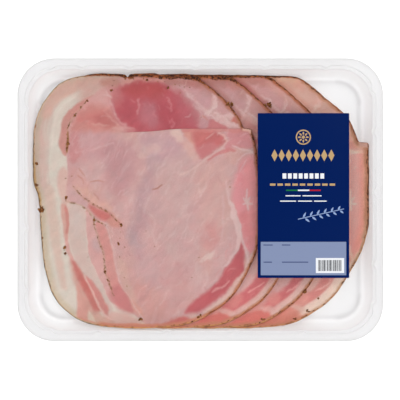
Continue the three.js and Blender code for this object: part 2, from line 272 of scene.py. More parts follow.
def tray_white_and_painted_shading():
    """The sheet's colour at each of the tray's points, with its painted shade and light."""
    insets = np.vstack([rounded(TRAY_TOP), rounded(TRAY_UNDERSIDE)])[:, :1]
    stations = tray_stations()
    corner = np.clip(np.hypot(stations[:, 5], stations[:, 6]) / 0.25, 0, 1)
    white = np.interp(insets, *np.array(TRAY_WHITES_AND_PAINTED_SHADING).T)
    white = white + CORNER_PAINTED_SHADE * corner * np.exp(-(((insets - CORNER_SHADE_INSET) / 1.6) ** 2))
    white = white + LONG_WALL_PAINTED_LIGHT * np.abs(stations[:, 3]) * np.exp(-(((insets - WALL_INSET) / 3) ** 4))
    colour = white.ravel()[:, None] * np.array(TRAY_TINT)
    return np.hstack([np.minimum(colour, 1), np.ones((len(colour), 1))])


tray = make_object("moulded_tray", *tray_mesh())
set_attribute(tray.data, "white", tray_white_and_painted_shading())
tray.data.materials.append(tray_plastic())
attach(tray, "root")
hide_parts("tray")

# The slices: thin rounds cut from one rolled roast, a belly wrapped round a loin. All four share one
# outline and one figure of muscles, fat and herb seams, and each lies a little further to the right
# under the one before. Each is pleated, so that its lower part lies over its upper part.
SLICE_THICKNESS = 1.3
SLICE_GAP = 0.2
FLOOR_GAP = 0.3
SLICE_SHIFTS = (0, 22, 46, 65)
LAST_SLICE_BULGE = 4.4
LAST_BULGE_Y = 0
LAST_SLICE_SQUARE = 3.2
# How far each slice's edge is drawn in at its lower right
SLICE_TAPERS = (0.4, 1.2, 4, 1.9)
DRAPE_NEAR = 10
DRAPE_FAR = 22
CURL_HEIGHT = 8.5
CURL_HEIGHT_RIGHT = 7.4
CURL_POWER = 2.8
CURL_WIDTH = 20
WALL_FOOT = 9.9
PLEAT_Y = 44.1
PLEAT_BEND_RIGHT_X = 45
PLEAT_BEND_LEFT_X = -10
PLEAT_FLAT_X = 93
PLEAT_DROP_RIGHT = 0.0034
PLEAT_DROP_LEFT = 0.0018
PLEAT_SAG = 0.9
PLEAT_SAG_X = -31
PLEAT_SAG_REACH = 12
PLEAT_HEIGHT = 0.9
PLEAT_STEP = 0.8
PLEAT_FADE = 14
PLEAT_STARTS = ((-70, -10), (26, 42), (48, 66), (72, 92))
SLICE_LEFT = (
    (-45, 77.6), (-70, 77.6), (-86.9, 73.2), (-97.9, 61.3), (-103.1, 47.2), (-104.2, 32), (-103.9, 11),
    (-101, 0.5), (-99.3, -25.8), (-97, -45), (-91.6, -61), (-81.7, -71.5), (-68.2, -77.5),
    (-48, -79.7), (-31.5, -79.7), (-7, -77.1), (12.3, -67.5), (22.5, -58), (30.6, -43.7),
    (35.9, -29.1), (37.2, -6.4), (36.8, 12.4), (35.3, 30),
)
# How far each slice's edge bulges at its upper right, at what height and over what reach
UPPER_BULGES = ((2.1, 59, 7), (3.1, 55, 7.5), (3.1, 55, 7.5), (4.9, 48.5, 11))
SLICE_UPPER = ((22.8, 52.2), (13, 63.8), (5, 71), (-5, 76.6), (-20, 77.4), (-45, 77.6))
JOG_OUTER_X = 32
JOG_INNER_X = 27
LAST_JOG_OUTER_X = 40.3
LAST_JOG_INNER_X = 34.4
# How far to the right the meat may reach before it meets the tray's wall
WALL_REACH = 105.15
TOP_STEP = 0.465
PLEAT_ROWS = (0.2, 0.42, 0.62, PLEAT_STEP)
PLEAT_REACH = 45
UNDER_STEP = 2.6
UNDER_MARGIN = 2.4
RIM_SWELL = 0.22


def soft_step(low, high, value):
    t = np.clip((value - low) / (high - low), 0, 1)
    return t * t * (3 - 2 * t)


def cloud(x, y, size, seed, octaves=3):
    """Smooth random values between about -1 and 1 at places x, y, in lumps of the given size."""
    random = np.random.default_rng(seed)
    total = np.zeros_like(x, dtype=float)
    weight = 1.0
    for _ in range(octaves):
        lattice = random.uniform(-1, 1, (64, 64))
        gx, gy = x / size + 1000, y / size + 1000
        column, row = np.floor(gx).astype(int), np.floor(gy).astype(int)
        fx, fy = gx - column, gy - row
        fx, fy = fx * fx * (3 - 2 * fx), fy * fy * (3 - 2 * fy)
        after, above = (column + 1) % 64, (row + 1) % 64
        column, row = column % 64, row % 64
        low = lattice[column, row] * (1 - fx) + lattice[after, row] * fx
        high = lattice[column, above] * (1 - fx) + lattice[after, above] * fx
        total += weight * (low * (1 - fy) + high * fy)
        weight *= 0.5
        size *= 0.5
    return total / 1.5


def smooth_line(points, spacing, closed=False):
    """A soft curve through the points, as places about one spacing apart."""
    points = np.array(points, float)
    if closed:
        points = np.vstack([points[-1:], points, points[:2]])
    else:
        points = np.vstack([2 * points[0] - points[1], points, 2 * points[-1] - points[-2]])
    line = []
    for a, b, c, d in zip(points[:-3], points[1:-2], points[2:-1], points[3:]):
        steps = max(1, int(round(np.hypot(*(c - b)) / spacing)))
        t = (np.arange(steps) / steps)[:, None]
        bend = (2 * a - 5 * b + 4 * c - d) * t**2 + (3 * b - a - 3 * c + d) * t**3
        line.append(0.5 * (2 * b + (c - a) * t + bend))
    if not closed:
        line.append(points[-2:-1])
    return np.vstack(line)


def to_line(x, y, line, closed=False):
    """Distance from each place to a line, and how far along the line its nearest point is, 0 to 1."""
    nearest = np.full(x.shape, np.inf)
    along = np.zeros(x.shape)
    ends = np.vstack([line, line[:1]]) if closed else line
    count = len(ends) - 1
    for i in range(count):
        (ax, ay), (bx, by) = ends[i], ends[i + 1]
        run = (bx - ax) ** 2 + (by - ay) ** 2 + 1e-12
        t = np.clip(((x - ax) * (bx - ax) + (y - ay) * (by - ay)) / run, 0, 1)
        distance = (x - ax - t * (bx - ax)) ** 2 + (y - ay - t * (by - ay)) ** 2
        closer = distance < nearest
        nearest = np.where(closer, distance, nearest)
        along = np.where(closer, (i + t) / count, along)
    return np.sqrt(nearest), along


def is_inside(x, y, outline):
    inside = np.zeros(x.shape, bool)
    for (ax, ay), (bx, by) in zip(outline, np.roll(outline, -1, axis=0)):
        if ay == by:
            continue
        crosses = (by > y) != (ay > y)
        inside ^= crosses & (x < (ax - bx) * (y - by) / (ay - by) + bx)
    return inside


def pleat_line(x):
    right = np.clip(x, PLEAT_BEND_RIGHT_X, PLEAT_FLAT_X) - PLEAT_BEND_RIGHT_X
    left = np.maximum(0, PLEAT_BEND_LEFT_X - x)
    sag = PLEAT_SAG * np.exp(-(((x - PLEAT_SAG_X) / PLEAT_SAG_REACH) ** 2))
    return PLEAT_Y - PLEAT_DROP_RIGHT * right**2 - PLEAT_DROP_LEFT * left**2 - sag


def slice_outline(index, spacing):
    """One slice's edge, anticlockwise, in the tray's place, with the small jog at its pleat."""
    shift = SLICE_SHIFTS[index]
    last = index == len(SLICE_SHIFTS) - 1
    bulge = LAST_SLICE_BULGE if last else 0

    def placed(points):
        x, y = np.array(points, float).T
        on_right = soft_step(-30, 30, x)
        swell = bulge * np.exp(-(((y - LAST_BULGE_Y) / 26) ** 2)) * on_right
        amount, height, reach = UPPER_BULGES[index]
        swell = swell + amount * np.exp(-(((y - height) / reach) ** 2)) * on_right
        tuck = SLICE_TAPERS[index] * soft_step(-20, -70, y) * on_right
        square = LAST_SLICE_SQUARE * soft_step(10, 32, y) * soft_step(25, 34, x) if last else 0
        return np.column_stack([x + shift + swell - tuck + square, y])

    outer = (LAST_JOG_OUTER_X if last else JOG_OUTER_X) + shift
    inner = (LAST_JOG_INNER_X if last else JOG_INNER_X) + shift
    fold_end = [[outer, pleat_line(outer)]]
    if last:
        fold_end = [[outer, pleat_line(outer) - 2.4], [outer - 1.2, pleat_line(outer) - 0.6]]
    lower = np.vstack([placed(SLICE_LEFT), fold_end])
    jog = pleat_line(outer) - 0.2 if last else pleat_line(inner) + PLEAT_STEP
    upper = np.vstack([[inner, jog], placed(SLICE_UPPER)])
    edge = np.vstack([smooth_line(lower, spacing), smooth_line(upper, spacing)[:-1]])
    return np.column_stack([np.minimum(edge[:, 0], WALL_REACH), edge[:, 1]])


def bed_height(x, y):
    """Where a slice alone would lie: flat on the floor, curling up along the tray's wall."""
    radius = TRAY_CORNER - WALL_FOOT + WALL_CORNER_EXTRA
    out_x = np.abs(x) - (TRAY_LENGTH / 2 - WALL_FOOT - radius)
    out_y = np.abs(y) - (TRAY_WIDTH / 2 - WALL_FOOT - radius)
    outside = np.hypot(np.maximum(out_x, 0), np.maximum(out_y, 0))
    distance = radius - outside - np.minimum(np.maximum(out_x, out_y), 0)
    share = np.maximum(0, 1 - distance / CURL_WIDTH)
    height = CURL_HEIGHT + (CURL_HEIGHT_RIGHT - CURL_HEIGHT) * soft_step(70, 100, x)
    return SHEET + FLOOR_GAP + height * share**CURL_POWER


def pleat_rise(index, x, y, eased=False):
    start, full = PLEAT_STARTS[index]
    height = PLEAT_HEIGHT * soft_step(start, full, x)
    below = pleat_line(x) - y
    folded = height * np.exp(-np.maximum(below, 0) / PLEAT_FADE)
    if eased:
        return np.where(below >= 0, folded, height * soft_step(-10, 0, below))
    return folded * soft_step(-PLEAT_STEP, 0, below)


coarse_outlines = [slice_outline(index, 4) for index in range(len(SLICE_SHIFTS))]


def under_height(index, x, y):
    """The height of a slice's underside: the tray's bed and every slice that lies below it."""
    height = bed_height(x, y)
    for lower in range(index + 1, len(SLICE_SHIFTS)):
        outline = coarse_outlines[lower]
        distance = np.where(is_inside(x, y, outline), 0, to_line(x, y, outline, closed=True)[0])
        share = soft_step(DRAPE_FAR, DRAPE_NEAR, distance)
        height = height + (SLICE_THICKNESS + SLICE_GAP + pleat_rise(lower, x, y, eased=True)) * share
    return height


def top_height(index, x, y):
    return under_height(index, x, y) + SLICE_THICKNESS + pleat_rise(index, x, y)


def grid_lines(low, high, step):
    return low + step * np.arange(int((high - low) / step) + 2)


def pleated_rows(low, high, step):
    """Rows that close up at the pleat, so that its fold is crisp."""
    below = np.arange(PLEAT_Y, low - step, -step)[::-1]
    above = grid_lines(PLEAT_Y + PLEAT_STEP + step, high, step)
    return np.concatenate([below, PLEAT_Y + np.array(PLEAT_ROWS), above])


def bend_rows(x, v):
    """Rows run along the pleat near it, and straighten further off."""
    share = soft_step(PLEAT_REACH, 0, np.abs(v - PLEAT_Y))
    return v + (pleat_line(x) - PLEAT_Y) * share


def cells_inside(columns, rows, outline, margin):
    """Places, four-sided cells and the rim's edges of the grid cells that lie inside an outline."""
    grid_x, grid_v = np.meshgrid(columns, rows, indexing="ij")
    grid_y = bend_rows(grid_x, grid_v)
    middle_x = (grid_x[:-1, :-1] + grid_x[1:, 1:]) / 2
    middle_y = (grid_y[:-1, :-1] + grid_y[1:, 1:]) / 2
    kept = is_inside(middle_x, middle_y, outline)
    if margin:
        kept &= to_line(middle_x, middle_y, outline, closed=True)[0] > margin
    for _ in range(4):
        pair = kept[:-1, :-1] & kept[1:, 1:] & ~kept[1:, :-1] & ~kept[:-1, 1:]
        kept[1:, :-1] |= pair
        pair = kept[1:, :-1] & kept[:-1, 1:] & ~kept[:-1, :-1] & ~kept[1:, 1:]
        kept[:-1, :-1] |= pair
    number = np.arange(grid_x.size).reshape(grid_x.shape)
    corners = (number[:-1, :-1], number[1:, :-1], number[1:, 1:], number[:-1, 1:])
    quads = np.column_stack([corner[kept] for corner in corners])
    used, quads = np.unique(quads, return_inverse=True)
    quads = quads.reshape(-1, 4)
    places = np.column_stack([grid_x.ravel()[used], grid_y.ravel()[used]])
    starts, ends = quads.ravel(), np.roll(quads, -1, axis=1).ravel()
    total = len(places)
    edge = ~np.isin(starts * total + ends, ends * total + starts)
    after = dict(zip(starts[edge].tolist(), ends[edge].tolist()))
    loop = [min(after)]
    while after[loop[-1]] != loop[0]:
        loop.append(after[loop[-1]])
    return places, quads, np.array(loop)


def close_ring(outer, inner, outer_numbers, inner_numbers):
    """Triangles between two rings that both run round the same way."""
    centre = outer.mean(0)

    def turn(ring, first):
        angle = np.unwrap(np.arctan2(ring[:, 1] - centre[1], ring[:, 0] - centre[0]))
        return angle - 2 * np.pi * round((angle[0] - first) / (2 * np.pi))

    outer_turn = turn(np.vstack([outer, outer[:1]]), 0)
    start = int(np.argmin(np.hypot(*(inner - outer[0]).T)))
    inner = np.roll(inner, -start, axis=0)
    inner_numbers = np.roll(inner_numbers, -start)
    inner_turn = turn(np.vstack([inner, inner[:1]]), outer_turn[0])
    i = j = 0
    count, inner_count = len(outer), len(inner)
    triangles = []
    while i < count or j < inner_count:
        here = (outer_numbers[i % count], inner_numbers[j % inner_count])
        if j == inner_count or (i < count and outer_turn[i + 1] <= inner_turn[j + 1]):
            i += 1
            triangles.append((here[0], here[1], outer_numbers[i % count]))
        else:
            j += 1
            triangles.append((here[0], here[1], inner_numbers[j % inner_count]))
    return triangles


# The figure of the slice is drawn in picture units, read off the photograph of the first slice:
# x to the right and y down, in units of PICTURE_UNIT, with the tray's middle at PICTURE_MIDDLE.
PIXEL = 0.6194
PICTURE_UNIT = 0.6253
PICTURE_MIDDLE = (200.25, 199.75)
PALE_LEAN = (203, 161, 158)
CREAM_FAT = (213, 200, 187)
PINK_FAT = (214, 188, 180)
TAN_FAT = (200, 179, 161)
BLUSH = (209, 179, 168)
MAUVE_LEAN = (188, 150, 153)
# How light each slice is above its pleat, and below it
LAYER_LIGHT = ((0.953, 0.962), (0.93, 1.03), (1.0, 1.05), (1.06, 1.07))
WARM_LEAN = (212, 158, 144)
VEIN = (219, 182, 178)
HERB = (118, 82, 52)


class Canvas:
    """Places on one slice, with the colour, fattiness and relief that are painted on each so far."""

    def __init__(self, px, py, seed):
        self.px, self.py, self.seed = px, py, seed
        fray_x, fray_y = cloud(px, py, 3, 17 + seed, 2), cloud(px, py, 3, 37 + seed, 2)
        self.wobble_x = cloud(px, py, 9, 11 + seed, 2) + 0.55 * fray_x
        self.wobble_y = cloud(px, py, 9, 31 + seed, 2) + 0.55 * fray_y
        self.gaps = cloud(px, py, 3.2, 57 + seed, 2)
        self.colour = np.tile(np.array(PALE_LEAN, float), (len(px), 1))
        self.fat = np.zeros(len(px))
        self.relief = np.zeros(len(px))

    def blend(self, share, tone, fat=0.0, relief=0.0):
        self.colour += share[:, None] * (np.array(tone, float) - self.colour)
        self.fat += share * (fat - self.fat)
        self.relief += share * (relief - self.relief)

    def near(self, line, reach, ragged):
        low, high = line.min(0) - reach, line.max(0) + reach
        near = (self.px > low[0]) & (self.px < high[0]) & (self.py > low[1]) & (self.py < high[1])
        x = self.px[near] + ragged * self.wobble_x[near]
        y = self.py[near] + ragged * self.wobble_y[near]
        return near, x, y

    def patch(self, tone, points, soft=1.6, strength=1.0, ragged=1.6, fat=0.0, relief=0.0, part=None):
        """A soft-edged field of one tone inside a closed line."""
        shape = smooth_line(points, 4, closed=True)
        near, x, y = self.near(shape, soft + 5, ragged)
        distance = to_line(x, y, shape, closed=True)[0]
        inward = np.where(is_inside(x, y, shape), distance, -distance)
        share = np.zeros(len(self.px))
        share[near] = soft_step(-soft, soft, inward) * strength
        self.blend(share if part is None else share * part, tone, fat, relief)

    def streak(self, tone, points, width, soft=0.9, strength=0.9, ragged=0.9, fat=1.0, broken=None, part=None,
               uneven=0.2):
        """A soft-edged stroke of one tone along an open line, thinner towards its ends."""
        line = smooth_line(points, 4)
        near, x, y = self.near(line, width + soft + 5, ragged)
        distance, along = to_line(x, y, line)
        thickness = width / 2 * (0.45 + 0.55 * np.sin(np.pi * along) ** 0.7) * (1 + uneven * self.gaps[near])
        share = np.zeros(len(self.px))
        share[near] = (1 - soft_step(thickness - soft / 2, thickness + soft, distance)) * strength
        if broken is not None:
            share *= soft_step(broken - 0.15, broken + 0.15, self.gaps)
        self.blend(share if part is None else share * part, tone, fat)

    def fibres(self, degrees, width, length, seed):
        """Values between about -1 and 1 in long thin lumps that run at an angle."""
        angle = math.radians(degrees)
        along = self.px * math.cos(angle) - self.py * math.sin(angle) + 3 * self.wobble_x
        across = self.px * math.sin(angle) + self.py * math.cos(angle) + 2 * self.wobble_y
        return cloud(along * width / length, across, width, seed + self.seed, 3)


HERB_SEAM = ((113, 85), (112, 91), (101, 89), (87.6, 99.8), (81, 107), (74, 115.6), (69.2, 123.5), (67, 130),
             (67.6, 142.7), (66, 150), (66.5, 170), (65.5, 185), (64.7, 197.7), (65.7, 202))
BELLY = ((119, 66), (112, 84), (101, 89), (87.6, 99.8), (81, 107), (74, 115.6), (69.2, 123.5), (67, 130),
         (67.6, 142.7), (66, 156), (67, 170), (65.5, 198), (67, 202), (75, 203.6), (86, 209), (94, 217),
         (98, 239), (104, 256), (106, 272), (113, 294), (124, 306), (142, 321), (150, 335), (20, 345), (18, 66))
LOWER_SEAM = ((65.7, 201.8), (75, 203.6), (86, 209), (93.5, 217), (97, 221), (105, 225))
UPPER_SEAM = ((73, 186), (82.5, 197), (91.6, 203), (109.8, 214), (121, 225))
INNER_SEAM = ((94, 218), (94.8, 226), (98, 239), (103.5, 255), (104.8, 271), (109, 282.7), (113.5, 296))


def paint_loin(canvas, seed):
    """The pale lean of the loin: broad soft fields, faint pale threads and a fine mottling."""
    px, py = canvas.px, canvas.py
    mottle = cloud(px, py, 26, 5 + seed, 3)
    canvas.blend(0.4 * soft_step(0.1, 0.9, mottle), MAUVE_LEAN)
    canvas.blend(0.4 * soft_step(0.1, 0.9, -mottle), WARM_LEAN)
    fields = (
        ((182, 146, 150), 9, 0.75, ((150, 150), (165, 158), (158, 172), (150, 190), (146, 215), (143, 245),
                                    (137, 262), (130, 240), (135, 205), (142, 170))),
        ((190, 152, 158), 7, 0.6, ((140, 133), (170, 133), (182, 146), (178, 160), (160, 162), (142, 150))),
        ((213, 172, 168), 4, 0.5, ((132, 165), (141, 166), (138, 185), (132, 202), (128, 214), (124, 200),
                                   (127, 180))),
        ((190, 148, 148), 5, 0.5, ((128, 214), (140, 205), (144, 214), (142, 232), (132, 228))),
        ((198, 161, 157), 10, 0.6, ((152, 170), (175, 155), (190, 162), (196, 190), (190, 230), (180, 262),
                                    (165, 255), (158, 220), (160, 190))),
        ((208, 164, 156), 8, 0.6, ((198, 170), (225, 165), (232, 190), (232, 215), (222, 240), (205, 235),
                                   (196, 200))),
        ((204, 148, 140), 9, 0.7, ((126, 284), (142, 278), (160, 290), (170, 306), (160, 322), (146, 320),
                                   (134, 306))),
        ((198, 158, 158), 8, 0.5, ((136, 256), (150, 256), (158, 270), (152, 284), (140, 276))),
        ((205, 142, 139), 5, 0.65, ((206, 228), (214, 222), (219, 236), (213, 250), (205, 248))),
        ((202, 148, 146), 9, 0.55, ((160, 268), (176, 262), (190, 280), (184, 304), (168, 306))),
        ((199, 148, 149), 7, 0.7, ((72, 131), (100, 133), (116, 138), (112, 152), (96, 160), (78, 160),
                                   (70, 146))),
        ((188, 138, 140), 8, 0.75, ((108, 140), (130, 146), (134, 170), (124, 196), (112, 190), (104, 160))),
        ((199, 133, 132), 3, 0.7, ((69, 133), (76, 134), (80, 146), (78, 160), (70, 162), (68, 148))),
        ((211, 160, 151), 5, 0.7, ((70, 168), (84, 174), (100, 190), (112, 208), (98, 204), (78, 192),
                                   (68, 182))),
        ((214, 165, 150), 2.5, 0.7, ((76, 184), (90, 190), (104, 204), (120, 222), (108, 212), (88, 200))),
        ((201, 155, 152), 7, 0.6, ((112, 226), (124, 226), (130, 250), (126, 268), (118, 262), (114, 244))),
        ((178, 150, 152), 4, 0.5, ((129, 226), (135, 232), (140, 246), (136, 248), (130, 240))),
        ((213, 176, 168), 3, 0.6, ((136, 152), (156, 146), (164, 150), (152, 156), (140, 160))),
    )
    for tone, soft, strength, points in fields:
        canvas.patch(tone, points, soft, strength, 4)
    grain = canvas.fibres(62, 7, 30, 47)
    canvas.blend(0.24 * soft_step(0.15, 0.75, grain), (212, 178, 174), 0.3)
    canvas.blend(0.24 * soft_step(0.15, 0.75, -grain), (190, 142, 143))
    threads = 1 - np.abs(canvas.fibres(66, 9, 46, 67))
    canvas.blend(0.3 * soft_step(0.93, 1.0, threads), (220, 188, 184), 0.4)
    for width, points in (
        (1.6, ((148, 213), (155, 220), (153, 235), (158, 248))), (1.4, ((215, 172), (207, 184), (200, 196))),
        (1.5, ((198, 164), (193, 176), (188, 186))), (1.3, ((197, 262), (196, 270), (199, 278))),
        (1.2, ((199, 262), (206, 256), (214, 251))), (1.3, ((206, 270), (208, 280), (203, 288))),
        (1.2, ((168, 290), (164, 300), (160, 306))), (1.3, ((90, 150), (100, 147), (114, 143))),
    ):
        canvas.streak((217, 184, 178), points, width, 1.3, 0.34, uneven=0.6)
    canvas.patch((217, 190, 182), ((200, 262), (206, 256), (214, 251), (213, 257), (207, 262)), 1.5, 0.7, fat=0.7)
    canvas.streak((168, 112, 98), ((152, 189.5), (158, 187.5), (163, 184.5)), 1.0, 0.7, 0.85)
    for points in (((78, 168), (82, 173), (85, 176)), ((91, 182), (98, 181), (104, 182)),
                   ((77, 175), (82, 179), (83, 183)), ((94, 193), (98, 197), (100, 200))):
        canvas.streak((188, 128, 116), points, 0.9, 0.7, 0.7)


def paint_hairs(canvas, zone, count, degrees, seed, tone=(222, 190, 184), strength=0.4):
    """Hair-fine pale strands at uneven places in a zone, all near one slant."""
    random = np.random.default_rng(400 + seed)
    left, top, right, bottom = zone
    for _ in range(count):
        start = np.array((random.uniform(left, right), random.uniform(top, bottom)))
        slant = math.radians(degrees + random.normal(0, 22))
        way = np.array((math.cos(slant), -math.sin(slant)))
        reach = random.uniform(3, 9)
        bend = random.normal(0, 1.2) * np.array((way[1], -way[0]))
        points = (start, start + way * reach / 2 + bend, start + way * reach)
        canvas.streak(tone, points, random.uniform(0.5, 1.0), 0.8, strength * random.uniform(0.5, 1), 0.8)


def paint_belly(canvas, edge, seed):
    """The belly wrapped round the loin: bands of fat that follow the crust, and strips of lean."""
    px, py = canvas.px, canvas.py
    canvas.patch(CREAM_FAT, BELLY, 1.0, ragged=0.8, fat=1)
    wrap = np.where(is_inside(px, py, smooth_line(BELLY, 4, closed=True)), 1.0, 0.0)
    ripple = edge + 1.4 * cloud(px, py, 18, 91 + seed, 3)
    above = soft_step(215, 195, py)
    canvas.blend(wrap * above * soft_step(15, 11, ripple), BLUSH, 0.8)
    canvas.blend(0.5 * wrap * above * soft_step(0.3, 0.8, cloud(edge, py * 0.15, 2.2, 95 + seed, 2)), CREAM_FAT, 1)
    canvas.blend(wrap * above * soft_step(8, 4, ripple), TAN_FAT, 0.8)
    canvas.blend(wrap * (1 - above) * soft_step(9, 3, ripple), (204, 186, 163), 0.8)
    fields = (
        ((211, 181, 167), 2.5, 0.85, 0.8, ((46, 188), (53, 188), (57, 215), (61, 245), (63, 265), (66, 290),
                                           (61, 288), (55, 262), (49, 230))),
        ((210, 168, 153), 3, 0.8, 0.8, ((46, 96), (56, 85), (70, 80.5), (92, 78), (100, 79), (88, 87),
                                        (72, 93), (58, 103), (48, 118), (42, 116))),
        ((202, 161, 150), 9, 0.9, 0.5, ((82, 85), (100, 80), (118, 79), (120, 90), (108, 93), (96, 97),
                                          (86, 103), (79, 100))),
        ((188, 132, 118), 3, 0.7, 0.3, ((100, 80.5), (118, 79), (120, 86), (110, 88), (101, 85))),
        ((197, 133, 124), 1.6, 0.9, 0.2, ((93, 95), (84, 99), (76, 103.5), (69, 110), (61.5, 120), (60, 132),
                                           (58.8, 140), (60, 149), (65, 156), (67, 150), (67.5, 138),
                                           (68, 125), (74, 115), (81, 107), (88, 99.5))),
        ((213, 172, 161), 2, 0.8, 0.6, ((61, 168), (67, 171), (67, 195), (71, 204), (63, 203), (58, 190),
                                        (57, 178))),
        ((207, 181, 171), 1.4, 1, 1, ((69, 205), (84, 209), (86, 222), (86, 240), (89, 258), (96, 272),
                                      (103, 288), (110, 303), (114, 316), (106, 318), (97, 303), (88, 285),
                                      (80, 268), (72, 254), (69, 235))),
        ((203, 183, 177), 5, 0.5, 1, ((72, 206), (80, 209), (81, 226), (76, 236), (72, 224))),
        ((206, 150, 138), 1.6, 0.8, 0.2, ((61.5, 203), (66, 204), (68.5, 212), (68.5, 228), (68, 240), (65, 241),
                                          (62.5, 228), (61, 214))),
        ((210, 159, 154), 1.2, 0.95, 0.2, ((86, 209), (93, 217), (95.5, 226), (99, 241), (104, 256),
                                           (105, 271), (109, 283), (114, 295), (120, 304), (112, 303),
                                           (103, 287), (96, 271), (89, 256), (87, 238), (86, 222))),
        ((192, 160, 160), 3, 0.6, 0.2, ((93, 238), (98, 242), (101, 252), (96, 252), (92, 245))),
        ((197, 108, 102), 3, 0.9, 0, ((89, 204), (98, 208), (108, 213), (114, 217), (112, 221), (104, 221),
                                        (96, 216), (90, 210))),
        ((205, 142, 130), 2, 0.9, 0, ((112, 216), (121, 224), (119, 228), (110, 226), (108, 220))),
        ((207, 143, 136), 1.6, 0.95, 0, ((96, 222), (103, 223.5), (107, 231), (112, 250), (116, 268), (118, 280),
                                      (124, 291), (132, 301), (135, 309), (128, 312), (118, 306), (112, 293),
                                      (107, 280), (105.5, 268), (103.5, 252), (98, 238))),
        ((198, 122, 121), 4, 0.85, 0, ((112, 287), (121, 286), (131, 300), (135, 310), (127, 313), (116, 306),
                                       (110, 297))),
        ((205, 165, 152), 3, 0.7, 1, ((119, 258), (126, 264), (129, 280), (134, 292), (138, 304), (134, 308),
                                      (127, 296), (121, 282), (118, 270))),
        ((212, 152, 140), 2, 0.8, 0, ((132, 300), (140, 306), (144, 316), (138, 314), (133, 308))),
        ((215, 172, 162), 3, 0.85, 0.6, ((104, 314), (120, 312), (134, 316), (144, 322), (152, 327), (130, 327),
                                      (110, 325))),
        ((212, 152, 140), 2, 0.9, 0.2, ((77, 284), (83, 296), (90, 306), (88, 314), (91, 328), (78, 322),
                                        (77, 304))),
        ((204, 150, 138), 3, 0.8, 0.1, ((69, 259), (75, 263), (84, 280), (95, 302), (99, 316), (92, 322),
                                        (84, 308), (76, 288), (71, 272))),
        ((194, 112, 104), 2.2, 0.9, 0, ((71, 260), (75, 262), (83, 275), (91, 288), (97, 300), (101, 311),
                                        (96, 313), (89, 302), (82, 289), (76, 276))),
        ((186, 100, 92), 2, 0.5, 0, ((80, 276), (86, 283), (92, 294), (88, 292), (82, 284))),
        ((203, 130, 123), 1.5, 0.9, 0, ((85.5, 276), (90.5, 279), (95, 285.5), (100, 293), (105, 302),
                                        (108.5, 310), (107, 314.5), (102.5, 313), (98, 306), (92.5, 296),
                                        (88, 286))),
        ((207, 160, 146), 3, 0.8, 0.4, ((96, 311), (104, 316), (112, 318), (116, 324), (104, 326), (97, 322))),
        ((214, 194, 176), 1.4, 0.85, 1, ((89, 311), (92, 314), (95.5, 321), (93, 325), (87.5, 323))),
    )
    for tone, soft, strength, fat, points in fields:
        canvas.patch(tone, points, soft, strength, 0.9, fat)
    strokes = (
        ((205, 178, 168), 2.2, 0.5, ((62, 98), (53, 112), (48.5, 135), (47.5, 160), (49, 185))),
        ((222, 208, 196), 1.6, 0.6, ((75, 96), (62, 106), (54, 122), (52, 150))),
        ((220, 180, 170), 1.6, 0.8, ((84, 276), (91, 290), (97.5, 303), (106, 316.5), (118, 320))),
        ((199, 126, 117), 3, 0.7, ((65.5, 207), (67, 216), (67.2, 226), (66.4, 234))),
        ((211, 156, 148), 3.5, 0.8, ((66, 238), (68, 250), (72, 260))),
        ((216, 184, 176), 1.6, 0.4, ((107, 226), (110, 238), (113, 252), (116, 268), (120, 283), (126, 292))),
        ((216, 184, 176), 1.4, 0.45, ((126, 292), (136, 308), (143, 318))),
        ((216, 178, 168), 1.4, 0.5, ((97, 221), (103, 222.5), (110, 226))),
        ((212, 140, 120), 2.5, 0.7, ((78, 318), (100, 324), (125, 324), (150, 324))),
    )
    for tone, width, strength, points in strokes:
        canvas.streak(tone, points, width, 1.0, strength, 0.8)
    seams = (
        ((182, 146, 120), 1.2, LOWER_SEAM), ((186, 134, 112), 1.1, UPPER_SEAM), ((176, 138, 110), 1.2, INNER_SEAM),
        ((176, 134, 104), 1.2, HERB_SEAM[3:10]),
    )
    for tone, width, points in seams:
        canvas.streak(tone, points, width, 1.2, 0.4, 0.8)
        canvas.streak(HERB, points, width + 0.2, 0.8, 0.65, 0.8, 0.0, 0.35, uneven=0.6)
    canvas.streak((140, 90, 46), ((67.4, 132), (67.6, 142.7), (66.4, 152)), 1.9, 0.8, 0.75, 0.6, 0.0)


